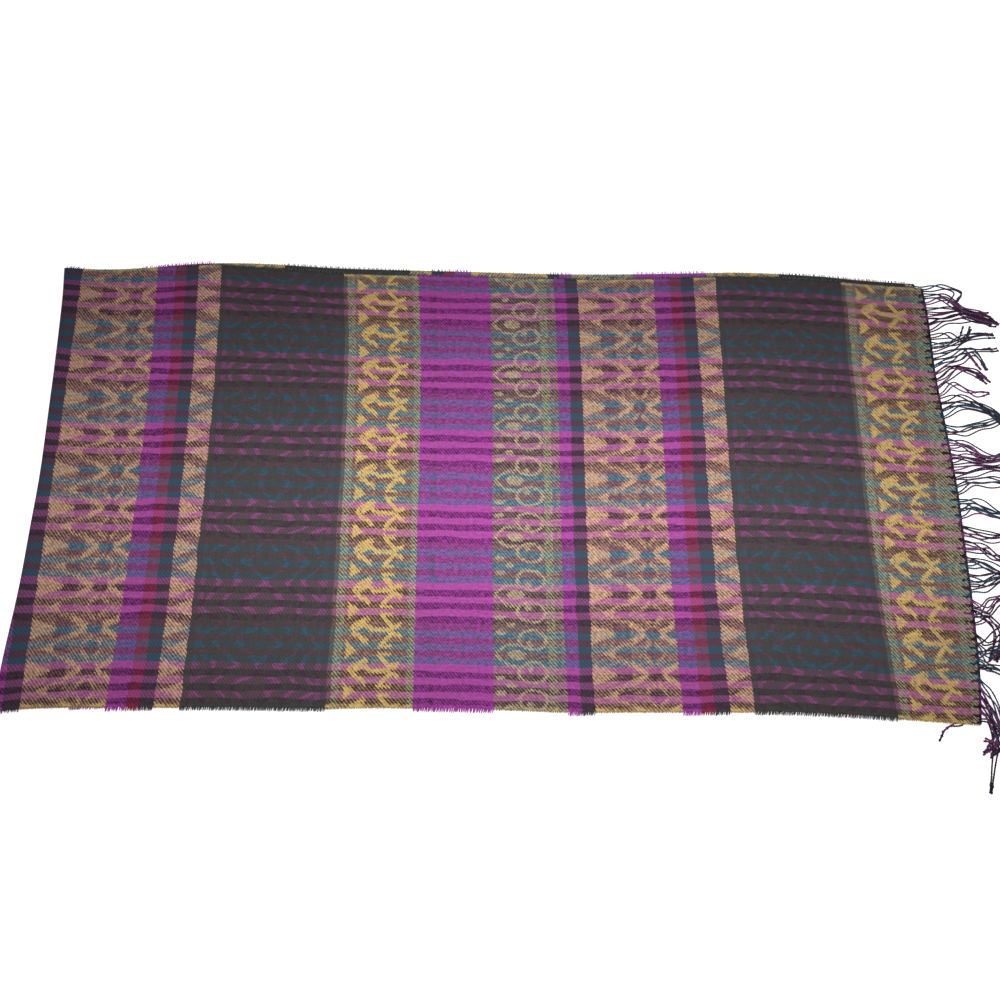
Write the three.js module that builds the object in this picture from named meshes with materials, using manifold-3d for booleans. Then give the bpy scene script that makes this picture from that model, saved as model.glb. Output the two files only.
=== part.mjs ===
// Fringed shawl: one woven length of twill, folded once across its length and laid flat, so that its two
// fringed ends lie together. Millimetres, +Z up. The fold is at -X, the fringes are at +X, the front selvedge
// is at -Y. The shapes are worked out from the fold line (x = 0) and the cloth's nominal middle (y = 0), and
// the finished group is moved so that its origin is the middle of its footprint, on the surface it lies on.
import * as THREE from "three";
import { mergeVertices } from "three/addons/utils/BufferGeometryUtils.js";
import Module from "manifold-3d";

const wasm = await Module();
wasm.setup();

// ---- Driving dimensions ----
const CLOTH_WIDTH = 457; // selvedge to selvedge
const CLOTH_LENGTH = 1830; // end to end, without the fringes
const WALL = 1.2; // thickness of one layer
const SEAM_GAP = 0.3; // clearance between neighbouring solids
const FRINGE_LENGTH = 88; // from the cloth's end to the knots
const TASSELS = 56; // tassels along each short end
const YARN_RADIUS = 0.8; // one twisted ply of a tassel
const KNOT_RADIUS = 1.15; // the knot that stops a ply from untwisting
const FLOOR_GAP = 0.4; // the fringe's knots end this far above the surface

const HALF_LENGTH = CLOTH_LENGTH / 2; // the fold halves the length
const HALF_WIDTH = CLOTH_WIDTH / 2;

// The fold is a soft roll: the upper layer turns down round it and ends in a narrow lip on the surface.
const ROLL_RADIUS = 2.2; // middle of the wall, round the roll
const LIP = 12; // from the fold line to the lip's end
const SETTLE = 46; // distance over which the upper layer comes down from the roll to the under layer

// The under layer lies a little further back than the upper one, and its end stops short of the upper end.
const UNDER_SHIFT = 4.6;
const UNDER_SHIFT_START = 60; // the shift grows from nothing over this distance from the fold
const UNDER_SHORT = 7;
const EDGE_ROUND = 0.35; // rounding of the under layer's edges
const UNDER_FRINGE_SHORT = 4; // the under fringe is this much shorter than the upper one

// The narrow strips that hold the fringes' roots.
const STRIP = 4;
const END_RISE = 0.9; // the upper end rides up on the fringe below it
const END_RISE_SPAN = 34;

// How far the cloth's four edges wander as it lies. Along the length: the middle line's drift across and the
// extra half width, both in mm, at distances from the fold.
const LIE_ALONG = [
  { along: -12, drift: 16.0, spread: 5.0 },
  { along: 35, drift: 17.0, spread: 2.5 },
  { along: 140, drift: 19.2, spread: 4.6 },
  { along: 205, drift: 19.0, spread: 4.4 },
  { along: 290, drift: 15.8, spread: 2.2 },
  { along: 355, drift: 15.0, spread: 0.6 },
  { along: 463, drift: 12.6, spread: 0.0 },
  { along: 530, drift: 10.4, spread: 0.2 },
  { along: 590, drift: 10.4, spread: 0.0 },
  { along: 680, drift: 11.2, spread: 1.0 },
  { along: 725, drift: 11.4, spread: 1.1 },
  { along: 810, drift: 7.0, spread: 0.6 },
  { along: 850, drift: 3.0, spread: 0.2 },
  { along: 930, drift: -3.0, spread: 0.0 },
];

// Across the width, from the front selvedge (-1) to the back one (1): where the fold and the end lie, in mm
// from their nominal lines.
const LIE_ACROSS = [
  { across: -1.0, fold: -9.2, end: -10.6 },
  { across: -0.8, fold: -7.0, end: -5.2 },
  { across: -0.5, fold: -1.8, end: -2.1 },
  { across: -0.25, fold: 0.2, end: -1.3 },
  { across: 0.0, fold: 2.0, end: -0.5 },
  { across: 0.3, fold: 1.2, end: -3.0 },
  { across: 0.55, fold: 0.2, end: -5.6 },
  { across: 0.85, fold: -2.0, end: -5.0 },
  { across: 1.0, fold: -4.6, end: -6.4 },
];

// The upper layer's largest soft ridges: middle of each (mm along, mm across), heading in degrees from +X,
// half length, half width and height.
const RIDGES = [
  { along: 46, across: 150, heading: 96, reach: 130, spread: 17, rise: 2.4 },
  { along: 58, across: -130, heading: 84, reach: 120, spread: 19, rise: 2.0 },
  { along: 150, across: 225, heading: 70, reach: 90, spread: 26, rise: 3.0 },
  { along: 178, across: -60, heading: 12, reach: 120, spread: 20, rise: 1.6 },
  { along: 296, across: 60, heading: 100, reach: 170, spread: 21, rise: 2.3 },
  { along: 352, across: -150, heading: 82, reach: 100, spread: 18, rise: 1.7 },
  { along: 430, across: 30, heading: 8, reach: 140, spread: 18, rise: 1.8 },
  { along: 520, across: 190, heading: 76, reach: 90, spread: 22, rise: 2.1 },
  { along: 566, across: -90, heading: 104, reach: 150, spread: 22, rise: 2.2 },
  { along: 655, across: 90, heading: 64, reach: 130, spread: 24, rise: 2.5 },
  { along: 715, across: -170, heading: 118, reach: 100, spread: 20, rise: 1.9 },
  { along: 790, across: 20, heading: 20, reach: 130, spread: 22, rise: 2.0 },
  { along: 850, across: 185, heading: -24, reach: 90, spread: 20, rise: 2.6 },
  { along: 868, across: -140, heading: 74, reach: 90, spread: 18, rise: 1.8 },
];

// How the fringe lies, from the front tassel (-1) to the back one (1), in degrees from +X towards +Y: swing
// is the heading that a tassel has turned to by its knot, and bow is the heading that it leaves the cloth
// with and has lost by its knot.
const COMBING = [
  { across: -1.0, swing: -66, bow: -16 },
  { across: -0.92, swing: -60, bow: -12 },
  { across: -0.82, swing: -42, bow: -6 },
  { across: -0.68, swing: -18, bow: -12 },
  { across: -0.5, swing: -2, bow: -8 },
  { across: -0.3, swing: 1, bow: 2 },
  { across: -0.1, swing: -4, bow: 13 },
  { across: 0.1, swing: -4, bow: 17 },
  { across: 0.35, swing: -8, bow: 20 },
  { across: 0.6, swing: -13, bow: 19 },
  { across: 0.8, swing: -18, bow: 14 },
  { across: 1.0, swing: -26, bow: 7 },
];

// ---- Helpers ----

// A smooth curve through one column of a table: cubic between rows, level with the end rows outside them.
function column(table, from, to, at) {
  const last = table.length - 1;
  if (at <= table[0][from]) return table[0][to];
  if (at >= table[last][from]) return table[last][to];
  const i = table.findIndex((row) => row[from] > at) - 1;
  const slope = (j) => {
    const [a, b] = [table[Math.max(j - 1, 0)], table[Math.min(j + 1, last)]];
    return (b[to] - a[to]) / (b[from] - a[from]);
  };
  const [p, q] = [table[i], table[i + 1]];
  const span = q[from] - p[from];
  const t = (at - p[from]) / span;
  const bend = (1 - t) * (slope(i) * span - (q[to] - p[to]));
  const back = t * (q[to] - p[to] - slope(i + 1) * span);
  return p[to] + t * (q[to] - p[to]) + t * (1 - t) * (bend + back);
}

// 0 at or below the first value, 1 at or above the second, and smooth between them.
function ease(from, to, at) {
  return THREE.MathUtils.smoothstep(at, from, to);
}

// count + 1 even steps from one value to another.
function steps(from, to, count) {
  return Array.from({ length: count + 1 }, (_, i) => from + ((to - from) * i) / count);
}

// A closed mesh from a list of points and a list of triangles.
function closedMesh(points, triangles) {
  const geometry = new THREE.BufferGeometry();
  geometry.setAttribute("position", new THREE.Float32BufferAttribute(points.flatMap((p) => p.toArray()), 3));
  geometry.setIndex(triangles.flat());
  return geometry;
}

// A wall between two faces: face(i, j, side) gives the point at a column and a row of its outer side (1) or
// its inner side (-1).
function wall(columns, rows, face) {
  const points = [];
  const triangles = [];
  for (const side of [1, -1])
    for (let j = 0; j <= rows; j++) for (let i = 0; i <= columns; i++) points.push(face(i, j, side));
  const inner = (columns + 1) * (rows + 1);
  const at = (i, j) => j * (columns + 1) + i;
  const quad = (a, b, c, d) => triangles.push([a, b, c], [a, c, d]);
  for (let j = 0; j < rows; j++)
    for (let i = 0; i < columns; i++) {
      const corners = [at(i, j), at(i + 1, j), at(i + 1, j + 1), at(i, j + 1)];
      quad(...corners);
      quad(...corners.map((c) => c + inner).reverse());
    }
  const edge = (a, b) => quad(b, a, a + inner, b + inner);
  for (let i = 0; i < columns; i++) {
    edge(at(i, 0), at(i + 1, 0));
    edge(at(i + 1, rows), at(i, rows));
  }
  for (let j = 0; j < rows; j++) {
    edge(at(0, j + 1), at(0, j));
    edge(at(columns, j), at(columns, j + 1));
  }
  return closedMesh(points, triangles);
}

// A three-sided strand along a route of points, with a radius at each of them.
function strand(route, radii) {
  const sides = 3;
  const points = [];
  const triangles = [];
  const up = new THREE.Vector3(0, 0, 1);
  route.forEach((centre, i) => {
    const ahead = route[Math.min(i + 1, route.length - 1)];
    const behind = route[Math.max(i - 1, 0)];
    const across = up.clone().cross(ahead.clone().sub(behind)).normalize();
    for (let k = 0; k < sides; k++) {
      const angle = (2 * Math.PI * k) / sides + Math.PI / 2;
      const out = across.clone().multiplyScalar(Math.cos(angle)).addScaledVector(up, Math.sin(angle));
      points.push(centre.clone().addScaledVector(out, radii[i]));
    }
  });
  for (let i = 0; i < route.length - 1; i++)
    for (let k = 0; k < sides; k++) {
      const [a, b] = [i * sides + k, i * sides + ((k + 1) % sides)];
      triangles.push([a, b, b + sides], [a, b + sides, a + sides]);
    }
  const tip = (route.length - 1) * sides;
  triangles.push([0, 2, 1], [tip, tip + 1, tip + 2]);
  return closedMesh(points, triangles);
}

// ---- The cloth as it lies ----

const driftAt = (along) => column(LIE_ALONG, "along", "drift", along);
const halfWidthAt = (along) => HALF_WIDTH + column(LIE_ALONG, "along", "spread", along);
const foldAt = (across) => column(LIE_ACROSS, "across", "fold", across);
const endAt = (across) => HALF_LENGTH + column(LIE_ACROSS, "across", "end", across);

// Height of the soft ridges at a place.
function ridgesAt(x, y) {
  return RIDGES.reduce((sum, ridge) => {
    const heading = THREE.MathUtils.degToRad(ridge.heading);
    const [dx, dy] = [x - ridge.along, y - ridge.across];
    const lengthwise = Math.abs(dx * Math.cos(heading) + dy * Math.sin(heading)) / ridge.reach;
    const sideways = (dy * Math.cos(heading) - dx * Math.sin(heading)) / ridge.spread;
    if (lengthwise >= 1) return sum;
    return sum + ridge.rise * Math.cos((lengthwise * Math.PI) / 2) ** 2 * Math.exp(-(sideways ** 2));
  }, 0);
}

// Height of the middle of the upper layer's wall.
function upperHeight(x, y, fromFold, toEnd) {
  const onUnderLayer = WALL + SEAM_GAP + WALL / 2;
  const onRoll = WALL / 2 + 2 * ROLL_RADIUS;
  const settled = ease(ROLL_RADIUS, SETTLE, fromFold);
  const ridges = ridgesAt(x, y) * ease(ROLL_RADIUS, SETTLE, fromFold) * ease(0, END_RISE_SPAN, toEnd);
  return onRoll + (onUnderLayer - onRoll) * settled + ridges + END_RISE * (1 - ease(0, END_RISE_SPAN, toEnd));
}

// The upper layer's stations, from the lip's end round the roll to the fringed end: each is a place on the
// roll ({ turn }, from 0 at the lip to 1 on top) or a share of the way along ({ share }).
const LIP_STATION = { lip: true };
const TURN_STATIONS = steps(0, 1, 7).map((turn) => ({ turn }));
const SPAN_STATIONS = [
  ...steps(0, SETTLE / HALF_LENGTH, 5).slice(1),
  ...steps(SETTLE / HALF_LENGTH, 1, 32).slice(1),
].map((share) => ({ share }));
const STATIONS = [LIP_STATION, ...TURN_STATIONS, ...SPAN_STATIONS];
const ACROSS = steps(-1, 1, 15); // stations across the width

// The middle of the upper layer's wall and the direction out of it, at a station along and a place across.
function upperPoint(station, across) {
  const fold = foldAt(across);
  const sideAt = (x) => driftAt(x) + across * halfWidthAt(x);
  if (station.lip)
    return {
      point: new THREE.Vector3(fold + LIP, sideAt(fold + LIP), WALL / 2),
      out: new THREE.Vector3(0, 0, -1),
    };
  if (station.turn !== undefined) {
    const angle = Math.PI * station.turn;
    const out = new THREE.Vector3(-Math.sin(angle), 0, -Math.cos(angle));
    const x = fold + ROLL_RADIUS;
    const hub = new THREE.Vector3(x, sideAt(x), WALL / 2 + ROLL_RADIUS);
    return { point: hub.addScaledVector(out, ROLL_RADIUS), out };
  }
  const start = fold + ROLL_RADIUS;
  const x = start + (endAt(across) - start) * station.share;
  const y = sideAt(x);
  const height = upperHeight(x, y, x - fold, endAt(across) - x);
  return { point: new THREE.Vector3(x, y, height), out: new THREE.Vector3(0, 0, 1) };
}

function upperLayer() {
  return wall(STATIONS.length - 1, ACROSS.length - 1, (i, j, side) => {
    const { point, out } = upperPoint(STATIONS[i], ACROSS[j]);
    return point.addScaledVector(out, (side * WALL) / 2);
  });
}

// The under layer is hidden but for its edges: one flat solid with rounded edges, from the lip to its end.
const underShiftAt = (x) => UNDER_SHIFT * ease(LIP, UNDER_SHIFT_START, x);
const underSide = (x, across) => driftAt(x) + underShiftAt(x) + across * halfWidthAt(x);
const underEndAt = (across) => endAt(across) - UNDER_SHORT;

function underLayer() {
  const outline = [];
  const start = (across) => foldAt(across) + LIP + SEAM_GAP;
  const place = (x, across) => outline.push(new THREE.Vector2(x, underSide(x, across)));
  const shares = steps(0, 1, 32);
  for (const share of shares) place(start(-1) + (underEndAt(-1) - start(-1)) * share, -1);
  for (const across of ACROSS.slice(1, -1)) place(underEndAt(across), across);
  for (const share of shares) place(underEndAt(1) + (start(1) - underEndAt(1)) * share, 1);
  for (const across of ACROSS.slice(1, -1).reverse()) place(start(across), across);
  const slab = new THREE.ExtrudeGeometry(new THREE.Shape(outline), {
    depth: WALL - 2 * EDGE_ROUND,
    bevelThickness: EDGE_ROUND,
    bevelSize: EDGE_ROUND,
    bevelOffset: -EDGE_ROUND,
    bevelSegments: 1,
  });
  return slab.translate(0, 0, EDGE_ROUND);
}

// ---- The fringes ----

const combed = (across, to) => THREE.MathUtils.degToRad(column(COMBING, "across", to, across));

// A repeatable spread of values from -1 to 1, one for each tassel.
const BOW_SCATTER = 0.14; // share of a tassel's bow
const LENGTH_SCATTER = 3; // mm
const scatter = (tassel, salt) => Math.sin(tassel * 12.9898 + salt * 78.233);

// A tassel leaves its root along +X, bows, swings round and ends in its knot. offset moves a ply sideways off
// the tassel's middle line, and height gives its middle's height at a share of its length.
function tasselRoute(root, across, tassel, { length, offset, height }, spans) {
  const swing = combed(across, "swing");
  const bow = combed(across, "bow") * (1 + BOW_SCATTER * scatter(tassel, 1));
  const middle = new THREE.Vector2(root.x, root.y);
  const fine = 4; // finer steps than the spans, so that the length holds on the bends
  const route = [];
  for (let step = 0; step <= spans * fine; step++) {
    const share = step / (spans * fine);
    const heading = swing * share * (2 - share) + bow * Math.cos(Math.PI * share);
    if (step % fine === 0) {
      const side = offset(share, heading);
      const x = middle.x - Math.sin(heading) * side;
      const y = middle.y + Math.cos(heading) * side;
      route.push(new THREE.Vector3(x, y, height(share)));
    }
    const stride = length / (spans * fine);
    middle.x += Math.cos(heading) * stride;
    middle.y += Math.sin(heading) * stride;
  }
  return route;
}

// Radii along a strand: even, then the knot and its cut tip.
function strandRadii(spans) {
  return Array.from({ length: spans + 1 }, (_, i) => (i === spans - 1 ? KNOT_RADIUS : YARN_RADIUS));
}

// A solid that manifold-3d can join, from a closed three.js geometry.
function solid(geometry) {
  const plain = geometry.clone();
  plain.deleteAttribute("normal");
  plain.deleteAttribute("uv");
  const merged = mergeVertices(plain, 1e-4);
  return new wasm.Manifold(
    new wasm.Mesh({
      numProp: 3,
      vertProperties: merged.attributes.position.array,
      triVerts: new Uint32Array(merged.index.array),
    }),
  );
}

// The joined solid as a three.js geometry.
function geometryOf(joined) {
  const mesh = joined.getMesh();
  const geometry = new THREE.BufferGeometry();
  geometry.setAttribute("position", new THREE.BufferAttribute(mesh.vertProperties, 3));
  geometry.setIndex(new THREE.BufferAttribute(mesh.triVerts, 1));
  return geometry;
}

// A strip along a layer's end, and the strands that are rooted in it. start and side give the strip's inner
// edge across the width, base its underside, plies the side that each strand of a tassel keeps to, and spread
// how far it keeps off the tassel's middle line.
function fringe({ start, side, base, plies, spread, spans, height, length }) {
  const strip = wall(1, ACROSS.length - 1, (i, j, face) => {
    const x = start(ACROSS[j]) + STRIP * i;
    return new THREE.Vector3(x, side(x, ACROSS[j]), base + (WALL * (1 + face)) / 2);
  });
  const parts = [solid(strip)];
  for (let tassel = 0; tassel < TASSELS; tassel++) {
    const across = -1 + (2 * (tassel + 0.5)) / TASSELS;
    const x = start(across) + STRIP / 2;
    const root = { x, y: side(x, across) };
    const lengthHere = length + STRIP / 2 + LENGTH_SCATTER * scatter(tassel, 2);
    for (const ply of plies) {
      const offset = (share, lean) => ply * spread(share, lean, tassel);
      const shape = { length: lengthHere, offset, height };
      parts.push(solid(strand(tasselRoute(root, across, tassel, shape, spans), strandRadii(spans))));
    }
  }
  return geometryOf(wasm.Manifold.union(parts));
}

// Two plies open and close along an upper tassel without touching, and close up where it leans.
const PLY_CLOSE = 1.1;
const PLY_OPEN = 0.75;
const PLY_SPLAY = 0.3;
const PLY_SCATTER = 0.4; // radians of the opening's wave
function plySpread(share, heading, tassel) {
  const wave = Math.sin(2 * Math.PI * share + PLY_SCATTER * scatter(tassel, 3)) ** 2;
  return Math.max(PLY_CLOSE, (PLY_CLOSE + PLY_OPEN * wave + PLY_SPLAY * share) * Math.cos(heading));
}

const STRAND_REST = FLOOR_GAP + KNOT_RADIUS / 2; // a strand's flat side is half its radius below its middle
const UPPER_BASE = WALL + SEAM_GAP + END_RISE;
const TIP_DROP = 0.86; // the upper tassels come down to the surface from this share of their length

function upperFringe() {
  const leaves = UPPER_BASE + WALL / 2;
  return fringe({
    start: (across) => endAt(across) + SEAM_GAP,
    side: (x, across) => driftAt(x) + across * halfWidthAt(x),
    base: UPPER_BASE,
    plies: [-1, 1],
    spread: plySpread,
    spans: 8,
    height: (share) => leaves + (STRAND_REST - leaves) * ease(TIP_DROP, 1, share),
    length: FRINGE_LENGTH,
  });
}

function underFringe() {
  return fringe({
    start: (across) => underEndAt(across) + SEAM_GAP,
    side: underSide,
    base: 0,
    plies: [0],
    spread: () => 0,
    spans: 6,
    height: () => STRAND_REST,
    length: FRINGE_LENGTH - UNDER_FRINGE_SHORT,
  });
}

// ---- The shawl ----

const cloth = { roughness: 0.86, metalness: 0 };
const shawl = new THREE.Group();
const pieces = [
  ["upper_layer", upperLayer(), 0x7d5468],
  ["under_layer", underLayer(), 0x6d4c58],
  ["upper_fringe", upperFringe(), 0x3a2347],
  ["under_fringe", underFringe(), 0x2b2c42],
];
for (const [name, geometry, color] of pieces) {
  const piece = new THREE.Mesh(geometry, new THREE.MeshStandardMaterial({ color, ...cloth }));
  piece.name = name;
  shawl.add(piece);
}

const footprint = new THREE.Box3().setFromObject(shawl);
const middle = footprint.getCenter(new THREE.Vector3());
shawl.position.set(-middle.x, -middle.y, -footprint.min.z);

export default shawl;
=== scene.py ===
import itertools
import math
from collections import namedtuple
from functools import partial

import bpy
import numpy as np
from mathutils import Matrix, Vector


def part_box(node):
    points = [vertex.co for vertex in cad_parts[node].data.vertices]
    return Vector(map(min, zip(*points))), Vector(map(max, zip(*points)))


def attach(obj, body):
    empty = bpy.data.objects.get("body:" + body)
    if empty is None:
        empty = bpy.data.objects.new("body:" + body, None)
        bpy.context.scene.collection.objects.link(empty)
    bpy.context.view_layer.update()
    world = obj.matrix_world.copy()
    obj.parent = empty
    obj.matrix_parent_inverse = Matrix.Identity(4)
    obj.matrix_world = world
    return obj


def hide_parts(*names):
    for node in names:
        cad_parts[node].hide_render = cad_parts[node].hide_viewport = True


bl_info = {
    "name": "Folded fringed shawl",
    "version": (1, 0, 0),
    "blender": (4, 5, 0),
    "location": "View3D > Sidebar > Shawl",
    "description": "Weaves, folds and fringes a twill shawl on its packed frame",
    "category": "Add Mesh",
}

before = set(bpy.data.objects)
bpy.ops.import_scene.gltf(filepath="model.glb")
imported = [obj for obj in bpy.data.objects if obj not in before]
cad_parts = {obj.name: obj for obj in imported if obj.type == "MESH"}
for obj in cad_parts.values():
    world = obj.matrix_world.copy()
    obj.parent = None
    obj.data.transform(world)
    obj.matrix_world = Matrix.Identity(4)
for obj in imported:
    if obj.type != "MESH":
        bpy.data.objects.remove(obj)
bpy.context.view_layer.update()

# The shapes are worked out in millimetres from the fold line (x = 0) and the cloth's nominal middle (y = 0),
# with z up from the surface that the shawl lies on. The fringes are at +x and the front selvedge is at -y.
MM = 0.001

# ---- Driving dimensions ----
CLOTH_WIDTH = 457.0  # selvedge to selvedge
CLOTH_LENGTH = 1830.0  # end to end, without the fringes
THICKNESS = 0.8  # of the woven cloth
WALL = 1.2  # of the solids that the cloth stands for
SEAM_GAP = 0.3  # between those solids
ROLL_RADIUS = 2.2  # middle of the solid's wall round the fold
SETTLE = 46.0  # from the fold to where the upper layer has come down onto the under one
UNDER_SHIFT = 4.6  # how far back the under layer lies
UNDER_SHIFT_SPAN = (40.0, 150.0)  # the stretch over which it slides back
BACK_DRAWN = 3.2  # how far the upper layer's back selvedge is drawn in
BACK_DRAWN_SPAN = (110.0, 300.0)  # the stretch over which it is
BACK_LET_OUT = 0.5  # the share of it that is let out again
BACK_LET_OUT_SPAN = (600.0, 760.0)
BACK_DRAWN_POWER = 8  # a high power keeps it close to the selvedge
UNDER_SHORT = 7.0  # how far the under end stops short of the upper one
END_ROWS = 4.3  # the last rows of weft, past the solids' ends
END_RISE = 0.9  # the upper end rides up on the fringe below it
END_RISE_SPAN = 34.0
TASSELS = 56
YARN_RADIUS = 0.92  # of one of a tassel's two twisted yarns
KNOT_RADIUS = 1.65  # of the knot at its end

HALF_LENGTH = CLOTH_LENGTH / 2
HALF_WIDTH = CLOTH_WIDTH / 2

# How far the cloth's edges wander as it lies: the middle line's drift across and the extra half width.
LieAlong = namedtuple("LieAlong", "along drift spread")
LIE_ALONG = [
    LieAlong(-12, 16.0, 5.0),
    LieAlong(35, 17.0, 2.5),
    LieAlong(140, 19.2, 4.6),
    LieAlong(205, 19.0, 4.4),
    LieAlong(290, 15.8, 2.2),
    LieAlong(355, 15.0, 0.6),
    LieAlong(463, 12.6, 0.0),
    LieAlong(530, 10.4, 0.2),
    LieAlong(590, 10.4, 0.0),
    LieAlong(680, 11.2, 1.0),
    LieAlong(725, 11.4, 1.1),
    LieAlong(810, 7.0, 0.6),
    LieAlong(850, 3.0, 0.2),
    LieAlong(930, -3.0, 0.0),
]

# From the front selvedge (-1) to the back one (1): where the fold and the end lie off their nominal lines.
LieAcross = namedtuple("LieAcross", "across fold end")
LIE_ACROSS = [
    LieAcross(-1.0, -9.2, -10.6),
    LieAcross(-0.8, -7.0, -5.2),
    LieAcross(-0.5, -1.8, -2.1),
    LieAcross(-0.25, 0.2, -1.3),
    LieAcross(0.0, 2.0, -0.5),
    LieAcross(0.3, 1.2, -3.0),
    LieAcross(0.55, 0.2, -5.6),
    LieAcross(0.85, -2.0, -5.0),
    LieAcross(1.0, -4.6, -6.4),
]

# Soft ridges: middle (mm along, mm across), heading in degrees from +x, half length, half width and height.
# The first rows are the solid's own ridges, and the rest are finer ones that only the cloth has.
Ridge = namedtuple("Ridge", "along across heading reach spread rise")
RIDGES = [
    Ridge(46, 150, 96, 130, 17, 2.4),
    Ridge(58, -130, 84, 120, 19, 2.0),
    Ridge(150, 225, 70, 90, 26, 3.0),
    Ridge(178, -60, 12, 120, 20, 1.6),
    Ridge(296, 60, 100, 170, 21, 2.3),
    Ridge(352, -150, 82, 100, 18, 1.7),
    Ridge(430, 30, 8, 140, 18, 1.8),
    Ridge(520, 190, 76, 90, 22, 2.1),
    Ridge(566, -90, 104, 150, 22, 2.2),
    Ridge(655, 90, 64, 130, 24, 2.5),
    Ridge(715, -170, 118, 100, 20, 1.9),
    Ridge(790, 20, 20, 130, 22, 2.0),
    Ridge(850, 185, -24, 90, 20, 2.6),
    Ridge(868, -140, 74, 90, 18, 1.8),
    Ridge(236, 140, 2, 120, 8, 0.5),
    Ridge(250, -30, -3, 150, 7, 0.45),
    Ridge(246, -168, 4, 110, 8, 0.5),
    Ridge(640, -20, -4, 120, 8, 0.5),
    Ridge(700, 96, 3, 90, 7, 0.5),
    Ridge(744, -96, -6, 100, 8, 0.6),
    Ridge(410, -120, 86, 80, 7, 0.4),
    Ridge(470, 120, 94, 90, 8, 0.45),
    Ridge(98, 10, 88, 110, 8, 0.5),
    Ridge(884, 40, 80, 90, 7, 0.6),
]

# Small waves all over the cloth: length of a wave, heading in degrees and height.
Wave = namedtuple("Wave", "length heading rise")
WAVES = [Wave(71, 17, 0.16), Wave(53, 101, 0.15), Wave(37, 63, 0.09), Wave(29, 132, 0.07), Wave(19, 8, 0.04)]

# ---- The woven pattern ----
# Warp stripes run the cloth's whole length. Their order repeats from the back selvedge to the front one:
# magenta (M), plum (D for damson), rose (R) and teal (T).
STRIPE = 6.638
STRIPES = "MDMDMDRTRTRT"
FIRST_STRIPE = 20.6  # from the back selvedge to the middle of the first magenta stripe

# Weft bands, from the fold towards the upper end: width in mm, yarn, the share of the ground that the weft
# covers and how much the twill lines change that. Their order repeats along the cloth. Olive pillars stand
# at the sides of the figured gold bands.
Band = namedtuple("Band", "name width yarn cover twill")
BANDS = [
    Band("magenta line", 12.5, "magenta", 0.27, 0.22),
    Band("dark line", 12.5, "dark", 0.52, 0.26),
    Band("stars", 82.0, "peach", 0.26, 0.34),
    Band("magenta edge", 18.0, "magenta", 0.25, 0.22),
    Band("crimson line", 11.5, "crimson", 0.39, 0.22),
    Band("dark edge", 13.0, "dark", 0.52, 0.26),
    Band("triangles", 23.3, "peach", 0.22, 0.36),
    Band("green ground", 6.0, "green", 0.84, 0.24),
    Band("green column", 4.5, "green", 0.60, 0.24),
    Band("green field", 113.0, "green", 0.84, 0.24),
    Band("green far column", 5.0, "green", 0.62, 0.24),
    Band("green margin", 6.0, "green", 0.80, 0.24),
    Band("green fade", 4.0, "faded", 0.50, 0.34),
    Band("hook pillar", 7.6, "olive", 0.44, 0.42),
    Band("hooks", 59.4, "gold", 0.18, 0.34),
    Band("hook far pillar", 6.5, "olive", 0.44, 0.42),
    Band("magenta ground", 12.0, "magenta", 0.36, 0.24),
    Band("magenta column", 6.5, "magenta", 0.28, 0.24),
    Band("magenta field", 59.0, "magenta", 0.38, 0.24),
    Band("scrolls", 51.5, "sand", 0.16, 0.32),
    Band("scroll pillar", 8.0, "olive", 0.44, 0.42),
    Band("scroll edge", 8.5, "sand", 0.22, 0.32),
]
BAND_START = {band.name: sum(b.width for b in BANDS[:i]) for i, band in enumerate(BANDS)}
REPEAT = sum(band.width for band in BANDS)

# Where bands start on the upper layer, in mm from the fold line's nominal place, in the first and in the
# second turn of their order. Each takes the width that it was beaten to, which differs a little by turn.
Edge = namedtuple("Edge", "band first second")
EDGES = [
    Edge("magenta line", None, 523.0),
    Edge("dark line", -3.2, 535.5),
    Edge("stars", 12.9, 548.0),
    Edge("magenta edge", 99.0, 629.0),
    Edge("crimson line", 118.0, 646.0),
    Edge("dark edge", 129.5, 657.5),
    Edge("triangles", 142.5, 670.5),
    Edge("green ground", 165.5, 693.5),
    Edge("green fade", 299.0, 830.0),
    Edge("magenta ground", 377.5, 907.5),
    Edge("scrolls", 454.5, None),
]
FIRST_TURN = [(edge.first, BAND_START[edge.band]) for edge in EDGES if edge.first is not None]
SECOND_TURN = [(edge.second, BAND_START[edge.band] + REPEAT) for edge in EDGES if edge.second is not None]
PLACES, ORDER = np.array(FIRST_TURN + SECOND_TURN).T
STOP_SHORT = 3.2  # mm: the pattern stops so far before the last edge, so that no stray thread brings it in

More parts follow.
